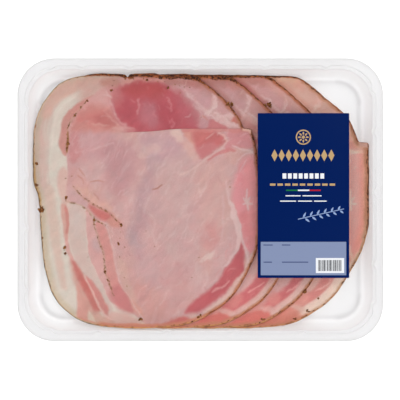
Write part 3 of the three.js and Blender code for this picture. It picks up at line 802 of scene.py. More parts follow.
def paint_upper(canvas, part):
    """Above the pleat: a dark red muscle, a coral one beside it and a web of fat to the right."""
    fields = (
        ((210, 157, 152), 3, 0.9, 0.2, ((84, 104), (101, 90), (112, 87), (117, 98), (113, 112), (100, 107),
                                        (88, 110))),
        ((203, 132, 124), 5, 0.9, 0, ((69, 127), (74, 116), (82, 108), (93, 104), (105, 107), (113, 113),
                                         (118, 120), (121, 129), (95, 132), (70, 132))),
        ((199, 116, 112), 4, 0.5, 0, ((78, 118), (92, 112), (104, 116), (106, 124), (88, 124))),
        ((187, 106, 103), 4, 0.65, 0, ((94, 116), (102, 111), (112, 114), (118, 122), (110, 126), (96, 124))),
        ((184, 89, 96), 6, 1, 0, ((115, 95), (122, 87), (132, 83), (142, 81), (158, 82), (170, 86),
                                   (180, 94), (190, 104), (196, 114), (199, 124), (200, 134), (150, 136),
                                   (128, 130), (119, 118), (113, 106))),
        ((185, 112, 119), 6, 0.85, 0, ((142, 104), (150, 101), (157, 108), (160, 122), (150, 128),
                                       (140, 120))),
        ((177, 80, 88), 5, 0.75, 0, ((116, 104), (128, 102), (134, 112), (130, 122), (120, 116))),
        ((175, 78, 87), 5, 0.8, 0, ((158, 104), (172, 106), (180, 120), (170, 130), (160, 120))),
        ((182, 80, 80), 6, 0.8, 0, ((122, 87), (142, 82), (160, 84), (168, 93), (150, 97), (130, 96))),
        ((186, 100, 108), 4, 0.7, 0, ((176, 98), (188, 106), (196, 120), (197, 130), (186, 122),
                                      (178, 108))),
        ((194, 116, 116), 4, 0.6, 0, ((110, 88), (119, 87), (124, 97), (120, 110), (114, 108), (110, 98))),
        ((186, 116, 120), 3.5, 0.6, 0, ((178, 92), (188, 98), (195, 108), (200, 122), (196, 124), (188, 110),
                                        (180, 100))),
        ((199, 150, 150), 3.5, 0.9, 0.1, ((172, 80), (192, 80), (206, 88), (218, 98), (210, 102), (196, 98),
                                          (182, 90))),
        ((200, 122, 122), 3, 0.6, 0, ((186, 80), (204, 84), (212, 92), (202, 90), (190, 84))),
        ((192, 138, 141), 3, 0.75, 0.3, ((188, 95), (200, 101), (210, 112), (214, 122), (208, 134), (201, 134),
                                        (199, 116), (192, 104))),
        ((203, 158, 154), 2.4, 0.7, 0.7, ((204, 104), (212, 109), (222, 118), (236, 121), (243, 132),
                                           (224, 131), (212, 118), (205, 114))),
        ((202, 152, 150), 1.6, 1, 0, ((217, 101), (226, 101), (233, 109), (236, 115), (226, 117.5),
                                      (217, 114), (213, 107))),
        ((199, 150, 151), 1.6, 1, 0, ((196, 98), (204, 98), (211, 96), (210.5, 106), (205, 110), (199, 104))),
        ((197, 117, 118), 1.5, 0.9, 0, ((209, 121), (215, 119.5), (222, 124), (229, 128), (229, 133),
                                        (208, 133))),
        ((194, 106, 92), 1.5, 0.8, 0, ((232, 119), (237, 115), (240, 121), (236, 123))),
        ((208, 150, 138), 2, 0.8, 0, ((120, 79), (140, 78.5), (170, 79), (195, 79), (195, 81.5), (160, 81.5),
                                      (122, 83))),
        ((186, 134, 129), 4, 0.72, 0, ((196, 79), (212, 83), (228, 92), (242, 106), (251, 122), (252, 130),
                                      (242, 126), (232, 112), (218, 102), (202, 92))),
        ((181, 122, 114), 2.5, 0.75, 0, ((163, 79), (182, 79), (203, 80), (204, 87), (190, 86.5), (166, 84))),
    )
    for tone, soft, strength, fat, points in fields:
        canvas.patch(tone, points, soft, strength, 2.4, fat, part=part)
    strokes = (
        (VEIN, 1.8, 0.6, ((187, 94), (192, 98), (197, 102))),
        (VEIN, 3.2, 0.55, ((197, 102), (203, 109), (210, 114))),
        (VEIN, 4, 0.6, ((206, 113.5), (213, 116.5), (222, 120), (231, 125))),
        (VEIN, 2.6, 0.85, ((213, 93), (215.5, 99), (213.5, 106), (209, 112))),
        (VEIN, 2.0, 0.8, ((214, 112), (222, 117), (231, 116), (238, 112))),
        (VEIN, 3.0, 0.7, ((226, 120), (234, 124), (242, 129))),
        (VEIN, 1.2, 0.5, ((195, 104), (199, 110), (203, 116), (207, 119))),
        ((190, 118, 104), 1.0, 0.7, ((203, 115), (205.5, 117.5), (207.5, 120))),
        ((208, 154, 152), 1.8, 0.6, ((110, 97), (114, 109), (119, 119), (126, 127))),
        ((214, 162, 156), 1.0, 0.55, ((104, 111), (113, 119), (122, 127))),
        ((214, 164, 153), 1.9, 0.5, ((91, 125), (100, 125), (108, 124.5))),
        ((214, 172, 164), 1.3, 0.45, ((112, 127.5), (124, 128.5), (134, 129.5))),
        ((208, 140, 142), 1.1, 0.7, ((139, 100), (140, 108), (137, 114))),
        ((206, 135, 138), 0.9, 0.6, ((168, 98), (170, 103), (171, 110))),
        ((202, 120, 126), 1.0, 0.6, ((170, 122), (173, 119), (175, 123), (172, 127))),
    )
    for tone, width, strength, points in strokes:
        canvas.streak(tone, points, width, 1.6, strength, 2.4, part=part, uneven=0.8)


# How much lower the red corner at each slice's foot lies
FOOT_DROPS = (0, 4.5, 3, 1)


def paint_lower(canvas, part, index):
    """Below the pleat: a coral muscle with pale fat round it, veins, and the lean along the right."""
    fields = (
        ((217, 184, 174), 1.8, 0.8, 0.9, ((170, 130), (179, 130), (184, 141), (180, 143), (174, 137))),
        ((212, 168, 158), 3, 0.7, 0.6, ((184, 141), (191, 137), (197, 146), (200, 157), (193, 160),
                                          (187, 152))),
        ((210, 146, 134), 2, 0.85, 0, ((183, 130), (196, 130), (198, 144), (192, 142), (186, 137))),
        ((195, 108, 107), 3.2, 1, 0, ((193, 131), (203, 130), (215, 131), (222, 135), (224.5, 141),
                                      (219, 147), (212, 151.5), (206, 157), (200, 157), (196, 149), (193.5, 140))),
        ((200, 130, 132), 2.5, 0.6, 0, ((196, 147), (204, 145), (214, 143), (218, 147), (206, 157), (198, 157))),
        ((203, 124, 116), 3, 0.35, 0, ((194, 131), (206, 130), (208, 138), (200, 142), (195, 139))),
        ((206, 136, 138), 2, 0.9, 0, ((226, 133), (240, 130), (251, 131), (254, 146), (246, 149),
                                      (235, 148), (225, 150), (222, 144), (228, 140))),
        ((206, 128, 123), 1, 0.7, 0, ((181, 127), (205, 127), (250, 127), (251, 131.5), (205, 132),
                                      (181, 132))),
    )
    for tone, soft, strength, fat, points in fields:
        canvas.patch(tone, points, soft, strength, 1.6, fat, part=part)
    # The rose lean along the right is its own tone painted lighter, as painted light where the label's shadow falls
    # on it
    fields = (
        ((223, 148, 151), 4, 1, 0, ((234, 186), (236, 175), (243, 164), (250, 157), (262, 154), (268, 180),
                                      (268, 230), (258, 250), (250, 255), (244, 247), (243, 234), (240, 222),
                                      (235, 210), (232, 198))),
        ((222, 136, 137), 5, 0.8, 0, ((238, 215), (250, 210), (262, 222), (258, 240), (248, 246),
                                      (243, 232))),
        ((221, 140, 144), 4, 0.6, 0, ((240, 160), (250, 158), (258, 176), (248, 190), (240, 178))),
        ((236, 158, 156), 3, 0.45, 0, ((246, 160), (262, 158), (262, 236), (251, 240), (246, 205))),
        ((191, 97, 101), 2.6, 1, 0, ((241.5, 243), (245.2, 254), (245.3, 264.6), (241.8, 273.4), (235.2, 281.8),
                                   (228.2, 289.2), (218.2, 298.2), (208.2, 306.6), (197, 312.2),
                                   (185, 313), (190, 304),
                                      (197, 297), (206, 292), (215, 285), (220, 277), (225, 270), (231, 263),
                                      (237, 252))),
        ((187, 90, 96), 3, 0.6, 0, ((240, 250), (243, 258), (241, 268), (236, 266), (236, 256))),
        ((187, 91, 97), 3, 0.6, 0, ((222, 280), (228, 284), (220, 292), (208, 300), (206, 298))),
        ((211, 175, 163), 1.8, 0.9, 1, ((190, 315.4), (195, 313.4), (200.6, 314.4), (209.5, 307.8),
                                      (219.4, 299.3), (229.4, 290.3), (237.3, 280.3), (243.8, 269),
                                      (246.4, 259), (247, 251), (250, 257),
                                      (254, 251), (262, 262), (252, 290), (225, 316), (200, 328),
                                      (192, 322))),
    )
    for tone, soft, strength, fat, points in fields:
        canvas.patch(tone, points, soft, strength, 1.3, fat)
    if index == 0:
        canvas.patch((201, 108, 102), ((168, 321), (180, 316.5), (190, 318), (197, 322), (205, 330),
                                       (160, 332)), 2, 0.9)
    else:
        canvas.patch((208, 132, 126), ((192, 298), (200, 292), (207, 297), (203, 304), (196, 306)), 3, 0.7)
        drop = np.array((0, FOOT_DROPS[index]))
        pink = np.array(((158, 311), (176, 301), (190, 300), (196, 308), (182, 318), (160, 324)))
        canvas.patch((207, 130, 122), pink + drop, 5, 0.6)
        red = np.array(((148, 324), (162, 317), (172, 311), (180, 308), (189, 307.5), (195, 309), (197, 313),
                        (203, 317), (196, 329), (148, 332)))
        canvas.patch((203, 106, 98), red + drop, 1.6, 0.95)
        pale = np.array(((184, 305), (192, 303), (200, 306.5), (198, 310.5), (189, 307.5)))
        canvas.patch((212, 177, 168), pale + drop, 2, 0.65)
    strokes = (
        ((201, 120, 120), 3.2, 0.7, ((209, 160), (215, 155), (222, 151.5), (229, 150), (235, 151))),
        ((217, 178, 171), 2.2, 0.6, ((227, 141), (220, 149), (211, 155), (201, 163), (191, 170), (180, 176))),
        ((219, 168, 160), 1.6, 0.8, ((226, 141), (224, 136), (219, 133))),
        ((214, 168, 160), 1.0, 0.6, ((206, 139), (210, 136), (214, 133))),
        (VEIN, 1.5, 0.85, ((233, 146), (244, 149.5), (255, 152))),
        (VEIN, 1.3, 0.7, ((238, 160), (246, 154), (256, 151.5))),
        (VEIN, 1.0, 0.6, ((246, 160), (243, 166), (240, 172))),
    )
    for tone, width, strength, points in strokes:
        canvas.streak(tone, points, width, 1.1, strength, 0.9, part=part)
    strokes = (
        ((216, 180, 176), 2.4, 0.7, ((226, 181), (228, 194), (231, 207), (234.5, 217))),
        ((219, 183, 179), 5.6, 1, ((230, 203), (234.5, 217), (238.5, 228), (240, 238), (237, 247))),
        ((217, 180, 177), 2.6, 0.8, ((239.5, 240), (236, 250), (231, 258), (226, 267))),
        ((217, 181, 178), 2.4, 0.9, ((242, 240), (246.5, 250), (249, 262))),
        ((214, 178, 176), 1.0, 0.5, ((222, 196), (223, 215), (221, 240))),
        ((221, 160, 156), 1.0, 0.8, ((213, 292), (221, 288), (229, 281))),
    )
    for tone, width, strength, points in strokes:
        canvas.streak(tone, points, width, 1.5, strength, 1.5, uneven=0.5)
    for tip in ((244, 198), (250, 197), (242.5, 204), (252, 203.5), (248, 210), (246.5, 189)):
        canvas.streak((223, 184, 181), ((247, 203), tip), 1.8, 0.9, 0.85, 0.8)


LAST_EDGE_SHADE = (0.05, 0.09, 0.12)
# How wide the pale rim is along each lower slice's lower right, and its tone there
RIM_REACH = (0, 9, 10, 11.5)
UPPER_LIFT = (0, 0.1, 0.75, 0.4)
RIM_FAT = ((0, 0, 0), (213, 171, 161), (224, 186, 175), (238, 212, 196))


def tone_slice(canvas, index, edge):
    """The lower slices are a little warmer, and the last one is tan above its pleat."""
    lean = 1 - 0.7 * canvas.fat
    if index == len(SLICE_SHIFTS) - 1:
        high = soft_step(150, 125, canvas.py)
        below = 1 - high
        canvas.blend((0.45 + 0.25 * high) * lean, (214, 168, 148))
        canvas.blend(0.45 * canvas.fat, (220, 192, 168), 1)
        canvas.blend(0.5 * soft_step(8, 2, edge) * soft_step(246, 236, canvas.py), (204, 166, 138))
        fold = smooth_line(((226, 152), (250, 151.5), (268, 151)), 4)
        distance = to_line(canvas.px, canvas.py, fold)[0]
        canvas.blend(0.85 * soft_step(2.2, 0.8, distance), (226, 186, 172), 1)
        # Painted light: the last slice's right strip is made lighter, where the label's shadow falls on it
        canvas.colour *= 1 + 0.13 * soft_step(226, 238, canvas.px)[:, None]
        canvas.colour *= 1 - (soft_step(12, 5, edge) * below)[:, None] * np.array(LAST_EDGE_SHADE)
    elif index:
        canvas.blend((0.1 + 0.05 * index) * lean, (210, 148, 134))
        # Painted light: the lower slices are lighter here, beside the jog of the slice above, where its fold shades
        # them
        canvas.patch((212, 158, 150), ((206, 116), (215, 115), (224, 121), (228, 130), (207, 130)), 2, 0.6)
    above, below = LAYER_LIGHT[index]
    canvas.colour *= (below + (above - below) * soft_step(150, 125, canvas.py))[:, None]
    if index:
        upper_arc = soft_step(138, 126, canvas.py) * soft_step(188, 200, canvas.px) * soft_step(12, 5, edge)
        canvas.blend(UPPER_LIFT[index] * upper_arc, (212, 160, 150))
        low_arc = soft_step(258, 270, canvas.py) * soft_step(192, 204, canvas.px)
        near = soft_step(RIM_REACH[index], RIM_REACH[index] - 3, edge)
        canvas.blend(0.85 * near * low_arc, RIM_FAT[index], 1)
    grain = canvas.fibres(40, 4, 12, 191)
    canvas.colour *= 1 + 0.03 * grain[:, None]
    hue = cloud(canvas.px, canvas.py, 6, 195 + index, 2)
    canvas.colour *= 1 + hue[:, None] * np.array((0.012, -0.016, -0.014))


# The fade inside each slice's edge at its upper right and lower right, and the crust's tone there
RIGHT_HALO = ((170, 108, 88), (172, 104, 80), (182, 108, 80), (196, 136, 106))
LOW_HALO = ((180, 118, 92), (188, 128, 102), (186, 126, 98), (208, 164, 134))
LOW_CHAR = ((164, 96, 60), (168, 98, 60), (166, 96, 56), (186, 138, 98))
# How deep the burnt skin is along each slice's top: places across the figure, and depths there
TOP_CRUST = (
    ((84, 0.4), (92, 1.2), (121, 1.4), (131, 3.3), (158, 3.6), (176, 4.6), (200, 4.4)),
    ((165, 3.9), (182, 3.4), (205, 1.6)),
    ((165, 1.9), (205, 1.5)),
    ((165, 0.8), (195, 0.5)),
)
CRUST_GAP = 127.6
CRUST_GAP_REACH = 1.5


def top_crust(index, px):
    """The burnt skin's depth along the top, with one bare gap in the first slice's."""
    depth = np.interp(px, *np.array(TOP_CRUST[index]).T)
    if index == 0:
        depth -= (depth + 0.6) * np.exp(-(((px - CRUST_GAP) / CRUST_GAP_REACH) ** 2))
    return depth


def crust_marks(index, px, py):
    """How the roasted skin looks near each place: its halo and char colours, and how wide each is."""
    along = cloud(px, py, 9, 131 + index, 3)
    fine = cloud(px, py, 3.5, 151 + index, 2)
    on_top = soft_step(83, 79, py) * soft_step(82, 92, px)
    at_foot = soft_step(312, 318, py) * soft_step(92, 104, px)
    at_right = soft_step(140, 170, px) * (1 - on_top) * (1 - at_foot)
    at_left = np.clip(1 - on_top - at_foot - at_right, 0, 1)
    golden = soft_step(152, 166, py) * soft_step(212, 200, py)
    upper_left = at_left * (1 - golden) * soft_step(150, 130, py)
    shoulder = at_right * soft_step(245, 205, py)
    skin = top_crust(index, px)
    wide = soft_step(120, 150, py) if index == 3 else 0
    kinds = (
        (upper_left, (198, 168, 142), (146, 124, 94), 1.4, 0.3),
        (at_left * (1 - golden) - upper_left, (192, 163, 130), (96, 76, 48), 1.5, 0.45),
        (at_left * golden, (182, 148, 102), (96, 70, 38), 2.3, 0.6),
        (on_top, (168, 94, 52), (58, 26, 10), skin + 1.1, skin),
        (shoulder, RIGHT_HALO[index], (140, 76, 42), 3.4 + wide, 1.1),
        (at_right - shoulder, LOW_HALO[index], LOW_CHAR[index], 2.7, 0.9),
        (at_foot, (198, 130, 106), (200, 144, 92), 3.6, 1.0),
    )
    halo = sum(share[:, None] * np.array(halo_tone, float) for share, halo_tone, _, _, _ in kinds)
    char = sum(share[:, None] * np.array(char_tone, float) for share, _, char_tone, _, _ in kinds)
    halo_width = sum(share * width for share, _, _, width, _ in kinds) * (1 + 0.35 * along)
    char_width = sum(share * width for share, _, _, _, width in kinds) * (1 + 0.8 * fine + 0.4 * along)
    dark = (0.4 * at_foot + 0.5 * at_right + 0.3 * shoulder) * soft_step(0.2, 0.5, fine)
    char += dark[:, None] * (np.array((70, 40, 22)) - char)
    if index == 3:
        burnt = 0.65 * at_right * soft_step(145, 155, py) * soft_step(236, 224, py)
        char += burnt[:, None] * (np.array((72, 38, 20)) - char)
        char_width = char_width + 0.4 * burnt
    across, down = (12, 13.5) if index == 3 else (0, 0)
    fold = soft_step(241, 243.5, px - across) * soft_step(252, 250, px - across)
    fold *= soft_step(126.5, 128.5, py - down) * soft_step(134.5, 132.5, py - down)
    char_width = char_width * (1 - 0.8 * fold)
    halo += fold[:, None] * (np.array((214, 168, 152)) - halo)
    return halo, char, halo_width, char_width


def to_linear(colour):
    share = np.clip(np.asarray(colour, float) / 255, 0, 1)
    return np.where(share <= 0.04045, share / 12.92, ((share + 0.055) / 1.055) ** 2.4)


def picture_place(index, x, y):
    """Where a place on a slice falls on the first slice's figure, in picture units."""
    px = (x - SLICE_SHIFTS[index]) / PICTURE_UNIT + PICTURE_MIDDLE[0]
    py = PICTURE_MIDDLE[1] - y / PICTURE_UNIT
    if index:
        drift_x, drift_y = cloud(px, py, 45, 70 + index, 1), cloud(px, py, 45, 80 + index, 1)
        px, py = px + 2.5 * drift_x, py + 2.0 * drift_y
    return px, py


# How much darker the meat is, in each colour, right beside the slice above
CONTACT_SHADE = ((0, 0, 0), (0.05, 0.12, 0.14), (0.05, 0.12, 0.14), (0.02, 0.07, 0.09))
CONTACT_SHADE_LOW = 0.25


def paint_slice(index, x, y, edge):
    px, py = picture_place(index, x, y)
    canvas = Canvas(px, py, index)
    crisp = 0.05 + 4 * soft_step(PLEAT_STARTS[index][0] + 8, PLEAT_STARTS[index][0] - 6, x)
    lower = soft_step(-crisp, crisp, pleat_line(x) + PLEAT_STEP / 2 - y)
    paint_loin(canvas, index)
    paint_hairs(canvas, (80, 135, 240, 300), 70, 62, index)
    paint_hairs(canvas, (110, 135, 230, 300), 26, 115, 10 + index, (188, 134, 134), 0.45)
    paint_belly(canvas, edge, index)
    paint_upper(canvas, 1 - lower)
    paint_hairs(canvas, (120, 84, 200, 126), 16, 118, 20 + index, (212, 140, 142), 0.35)
    paint_hairs(canvas, (70, 86, 120, 128), 10, 140, 30 + index, strength=0.45)
    paint_hairs(canvas, (180, 84, 240, 126), 16, 60, 40 + index)
    paint_lower(canvas, lower, index)
    paint_hairs(canvas, (180, 134, 256, 160), 14, 40, 50 + index)
    paint_hairs(canvas, (205, 245, 246, 300), 10, 45, 60 + index, (214, 140, 140), 0.5)
    paint_hairs(canvas, (236, 165, 256, 245), 12, 80, 70 + index)
    tone_slice(canvas, index, edge)
    if index:
        beside = to_line(x, y, coarse_outlines[index - 1], closed=True)[0] / PICTURE_UNIT
        amount = soft_step(6, 2.5, beside) * np.maximum(soft_step(122, 112, py), CONTACT_SHADE_LOW)
        canvas.colour *= 1 - amount[:, None] * np.array(CONTACT_SHADE[index])
    return canvas


CRUST_GAP_X = -45.4
CRUST_GAP_DEPTH = 1.9
CRUST_GAP_WIDTH = 0.9
# Where the first slice's burnt skin stands up higher, and by how much
CRUST_RISES = ((-72, 0), (-68, 0.6), (-50, 0.6), (-47, 0.1), (-43, 0.3), (-40, 0.9), (-28, 1.1), (-24, 0.2),
               (-19, 0.5), (-13, 0.9), (-6, 0.9), (-1, 0.5), (4, 0))
LOWER_CRUST_RISE = (0, 0.35, 0.35, 0)


def ragged_outline(index, spacing=0.9):
    """The slice's edge with the small notches of a cut crust."""
    outline = slice_outline(index, spacing)
    x, y = outline.T
    notch = 0.2 * (1 + cloud(x, y, 2.6, 171 + index, 2))
    notch += np.where(y > 60, CRUST_GAP_DEPTH * np.exp(-(((x - CRUST_GAP_X) / CRUST_GAP_WIDTH) ** 2)), 0)
    rise = np.interp(x, *np.array(CRUST_RISES).T) if index == 0 else LOWER_CRUST_RISE[index]
    notch -= np.where(y > 74, rise, 0)
    run = np.roll(outline, -1, axis=0) - np.roll(outline, 1, axis=0)
    return outline + np.column_stack([-run[:, 1], run[:, 0]]) / np.hypot(*run.T)[:, None] * notch[:, None]


def slice_mesh(index):
    """One slice: a fine painted top, a bulged rim and a plain coarser underside."""
    outline = ragged_outline(index)
    low, high = outline.min(0), outline.max(0)
    columns = grid_lines(low[0] - TOP_STEP, high[0], TOP_STEP)
    rows = pleated_rows(low[1], high[1], TOP_STEP)
    places, quads, loop = cells_inside(columns, rows, outline, 0)
    closed = np.vstack([outline, outline[:1]])
    where = to_line(places[loop, 0], places[loop, 1], outline, closed=True)[1] * len(outline)
    segment = np.minimum(where.astype(int), len(outline) - 1)
    share = (where - segment)[:, None]
    places[loop] = closed[segment] * (1 - share) + closed[segment + 1] * share
    run = closed[segment + 1] - closed[segment]
    outward = np.column_stack([run[:, 1], -run[:, 0]]) / np.hypot(run[:, 0], run[:, 1])[:, None]
    x, y = places.T
    edge = to_line(x, y, outline, closed=True)[0] / PICTURE_UNIT
    canvas = paint_slice(index, x, y, edge)
    under = under_height(index, x[loop], y[loop])
    top = top_height(index, x, y) + canvas.relief
    columns = grid_lines(low[0], high[0], UNDER_STEP)
    rows = grid_lines(low[1], high[1], UNDER_STEP)
    under_places, under_quads, under_loop = cells_inside(columns, rows, outline, UNDER_MARGIN)
    total, count = len(places), len(loop)
    rim = places[loop]
    middle = np.column_stack([rim + RIM_SWELL * outward, (under + top[loop]) / 2])
    points = np.vstack([
        np.column_stack([places, top]),
        middle,
        np.column_stack([rim, under]),
        np.column_stack([under_places, under_height(index, *under_places.T)]),
    ])
    first, second, base = total, total + count, total + 2 * count
    step = np.arange(count)
    after = (step + 1) % count
    faces = quads.tolist()
    faces += np.column_stack([loop, first + step, first + after, loop[after]]).tolist()
    faces += np.column_stack([first + step, second + step, second + after, first + after]).tolist()
    faces += (base + under_quads[:, ::-1]).tolist()
    faces += close_ring(rim, under_places[under_loop], second + step, base + under_loop)
    source = np.concatenate([np.arange(total), loop, loop, np.full(len(under_places), -1)])
    return points, faces, canvas, edge, source


def make_slice(index, material):
    points, faces, canvas, edge, source = slice_mesh(index)
    name = f"slice_{index + 1}"
    piece = make_object(f"meat_{name}", points, faces)
    halo, char, halo_width, char_width = crust_marks(index, canvas.px, canvas.py)
    hidden = source < 0
    opaque = np.ones((len(source), 1))

    def spread(values, plain):
        spread_out = np.asarray(values, float)[source]
        spread_out[hidden] = plain
        return spread_out

    set_attribute(piece.data, "paint", np.hstack([to_linear(spread(canvas.colour, PALE_LEAN)), opaque]))
    set_attribute(piece.data, "halo", np.hstack([to_linear(spread(halo, TAN_FAT)), opaque]))
    set_attribute(piece.data, "char", np.hstack([to_linear(spread(char, TAN_FAT)), opaque]))
    marks = np.column_stack([spread(edge, 50), spread(halo_width, 1), spread(char_width, 1)])
    set_attribute(piece.data, "crust", marks)
    set_attribute(piece.data, "fat", spread(canvas.fat, 0))
    piece.data.materials.append(material)
    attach(piece, "root")
    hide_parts(name)
    return piece


def roast_pork():
    """Moist meat with a roasted edge: the painted figure, finely mottled, with a low sheen."""
    material, tree, shader = new_material("sliced roast pork")
    links = tree.links

    def attribute(name):
        return add_node(tree, "ShaderNodeAttribute", attribute_name=name)

    def arithmetic(operation, first, second):
        node = add_node(tree, "ShaderNodeMath", operation=operation)
        for socket, value in zip(node.inputs, (first, second)):
            if isinstance(value, (int, float)):
                socket.default_value = value
            else:
                links.new(value, socket)
        return node.outputs["Value"]

    def fading(value, low, high):
        node = add_node(tree, "ShaderNodeMapRange", interpolation_type="SMOOTHSTEP")
        node.inputs["To Min"].default_value = 1
        node.inputs["To Max"].default_value = 0
        for socket, source in (("Value", value), ("From Min", low), ("From Max", high)):
            if isinstance(source, (int, float)):
                node.inputs[socket].default_value = source
            else:
                links.new(source, node.inputs[socket])
        return node.outputs["Result"]

    def noise(scale, detail):
        node = add_node(tree, "ShaderNodeTexNoise")
        node.inputs["Scale"].default_value = scale
        node.inputs["Detail"].default_value = detail
        links.new(place.outputs["Object"], node.inputs["Vector"])
        return node.outputs["Fac"]

    def over(below, above, share):
        node = add_node(tree, "ShaderNodeMix", data_type="RGBA")
        links.new(share, node.inputs["Factor"])
        links.new(below, node.inputs[6])
        links.new(above, node.inputs[7])
        return node.outputs[2]

    place = add_node(tree, "ShaderNodeTexCoord")
    grain, crumb = noise(850, 4), noise(620, 3)
    crust = add_node(tree, "ShaderNodeSeparateXYZ")
    links.new(attribute("crust").outputs["Vector"], crust.inputs["Vector"])
    edge = arithmetic("ADD", crust.outputs["X"], arithmetic("MULTIPLY", arithmetic("SUBTRACT", crumb, 0.5), 1.8))
    halo_end = arithmetic("MULTIPLY", crust.outputs["Y"], 1.3)
    char_end = arithmetic("ADD", crust.outputs["Z"], 0.45)
    halo_share = fading(edge, arithmetic("MULTIPLY", crust.outputs["Y"], 0.45), halo_end)
    char_share = fading(edge, arithmetic("SUBTRACT", crust.outputs["Z"], 0.25), char_end)
    tint = add_node(tree, "ShaderNodeVectorMath", operation="SCALE")
    shade = add_node(tree, "ShaderNodeMapRange")
    shade.inputs["From Min"].default_value = 0.25
    shade.inputs["From Max"].default_value = 0.75
    shade.inputs["To Min"].default_value = 0.94
    shade.inputs["To Max"].default_value = 1.02
    links.new(grain, shade.inputs["Value"])
    links.new(attribute("paint").outputs["Color"], tint.inputs["Vector"])
    links.new(shade.outputs["Result"], tint.inputs["Scale"])
    skin = over(tint.outputs["Vector"], attribute("halo").outputs["Color"], halo_share)
    cover = arithmetic("MAXIMUM", fading(grain, 0.5, 0.58), 0.35)
    char = over(skin, attribute("char").outputs["Color"], arithmetic("MULTIPLY", char_share, cover))
    links.new(char, shader.inputs["Base Color"])
    shader.inputs["Specular IOR Level"].default_value = 0.25
    gloss = add_node(tree, "ShaderNodeMapRange")
    gloss.inputs["To Min"].default_value = 0.5
    gloss.inputs["To Max"].default_value = 0.4
    links.new(attribute("fat").outputs["Fac"], gloss.inputs["Value"])
    links.new(gloss.outputs["Result"], shader.inputs["Roughness"])
    bump = add_node(tree, "ShaderNodeBump")
    bump.inputs["Strength"].default_value = 0.35
    bump.inputs["Distance"].default_value = 0.0003
    links.new(grain, bump.inputs["Height"])
    links.new(bump.outputs["Normal"], shader.inputs["Normal"])
    return material


pork = roast_pork()
slices = [make_slice(index, pork) for index in range(len(SLICE_SHIFTS))]

# The herbs and crumbs: flecks of dried herb in the seams of the roll, and burnt crumbs on its crust,
# all stuck to the meat. Each is a small uneven grain, scattered only where no slice lies over it.
HERB_SIZE = 0.85
CRUMB_SIZE = 0.85
LUMP_SIZE = 1.8
GRAIN_SEED = 7
FLECK_SPACING = 0.9
FLECK_SHARE = 0.4
UPPER_MARGIN = 1.2
OVERHANG = 0.6
LONE_FLECKS = ((64, 247), (64.7, 254), (64.3, 250), (88, 257), (192, 277.5), (199, 257.5), (170, 129), (121, 232),
               (120, 238), (125, 247), (120, 257), (124.4, 278), (127, 286), (140.7, 319), (140, 318.4),
               (147, 80), (158, 82), (168.6, 87), (180.6, 93), (201.5, 117), (230, 181), (230, 187),
               (112.6, 85.6), (112.2, 90), (111.6, 91.5), (65, 197), (65.8, 201), (65.4, 178), (72, 176),
               (155, 246), (146, 231), (176, 301))
# Lumps of crust and herb: slice, place in the photograph, spread and count
LUMPS = ((0, (118.7, 244.5), 0.5, 2), (0, (40.9, 209.2), 1.2, 14), (0, (36.8, 164), 0.7, 6), (0, (36.6, 185), 0.5, 3),
         (0, (228.6, 104.4), 0.8, 8), (1, (231, 104.8), 0.9, 12), (0, (64, 247.5), 0.6, 4), (0, (64.5, 253.6), 0.4, 3), (0, (42.2, 238), 0.4, 2),
         (0, (66.6, 148), 0.4, 3), (0, (67.4, 143.5), 0.4, 2), (0, (140.8, 318.8), 0.7, 4), (0, (112.2, 90), 0.4, 2),
         (0, (87, 100.6), 0.4, 2), (0, (74.4, 115), 0.4, 2), (0, (147, 80.2), 0.6, 2), (0, (168.6, 87), 0.5, 2),
         (0, (65.5, 198), 0.5, 3), (0, (94, 220), 0.4, 2), (0, (104.8, 271), 0.4, 2), (0, (121.5, 225), 0.5, 2),
         (1, (265.5, 105), 0.5, 3), (2, (269.3, 104.8), 1.1, 16), (2, (304.8, 291.6), 0.9, 7), (3, (307.4, 290.6), 0.7, 3), (3, (318.8, 298.5), 0.3, 1), (2, (264, 319), 1.2, 4),
         (3, (308, 311), 1.0, 3), (3, (296, 319.5), 0.9, 3), (0, (199.5, 316.5), 1.0, 3))


def tray_place(px, py):
    """The place in the tray of a point of the first slice's figure."""
    return (px - PICTURE_MIDDLE[0]) * PICTURE_UNIT, (PICTURE_MIDDLE[1] - py) * PICTURE_UNIT


def scattered(line, spacing, spread, random):
    """Places along a line, with uneven gaps and a little to each side."""
    places = smooth_line(line, spacing)
    kept = places[random.random(len(places)) < FLECK_SHARE]
    return kept + random.normal(0, spread, kept.shape)


def on_slice(index, places):
    """Places on one slice's top that no other slice covers, with their heights."""
    places = np.asarray(places, float).reshape(-1, 2)
    x, y = places.T
    own = ragged_outline(index)
    free = is_inside(x, y, own) | (to_line(x, y, own, closed=True)[0] < OVERHANG)
    for upper in range(index):
        outline = coarse_outlines[upper]
        free &= ~is_inside(x, y, outline) & (to_line(x, y, outline, closed=True)[0] > UPPER_MARGIN)
    x, y = np.minimum(x[free], WALL_REACH - CRUMB_SIZE / 2), y[free]
    return np.column_stack([x, y, top_height(index, x, y) + 0.04])


def herb_places(random):
    lines = (HERB_SEAM[3:10], LOWER_SEAM[3:], UPPER_SEAM, INNER_SEAM)
    marks = [scattered(line, FLECK_SPACING, 0.35, random) for line in lines]
    marks.append(np.array(LONE_FLECKS) + random.normal(0, 0.2, (len(LONE_FLECKS), 2)))
    marks.append(scattered(((106, 84), (125, 79.6), (160, 81.5), (195, 90)), 5, 0.5, random))
    return on_slice(0, np.column_stack(tray_place(*np.vstack(marks).T)))


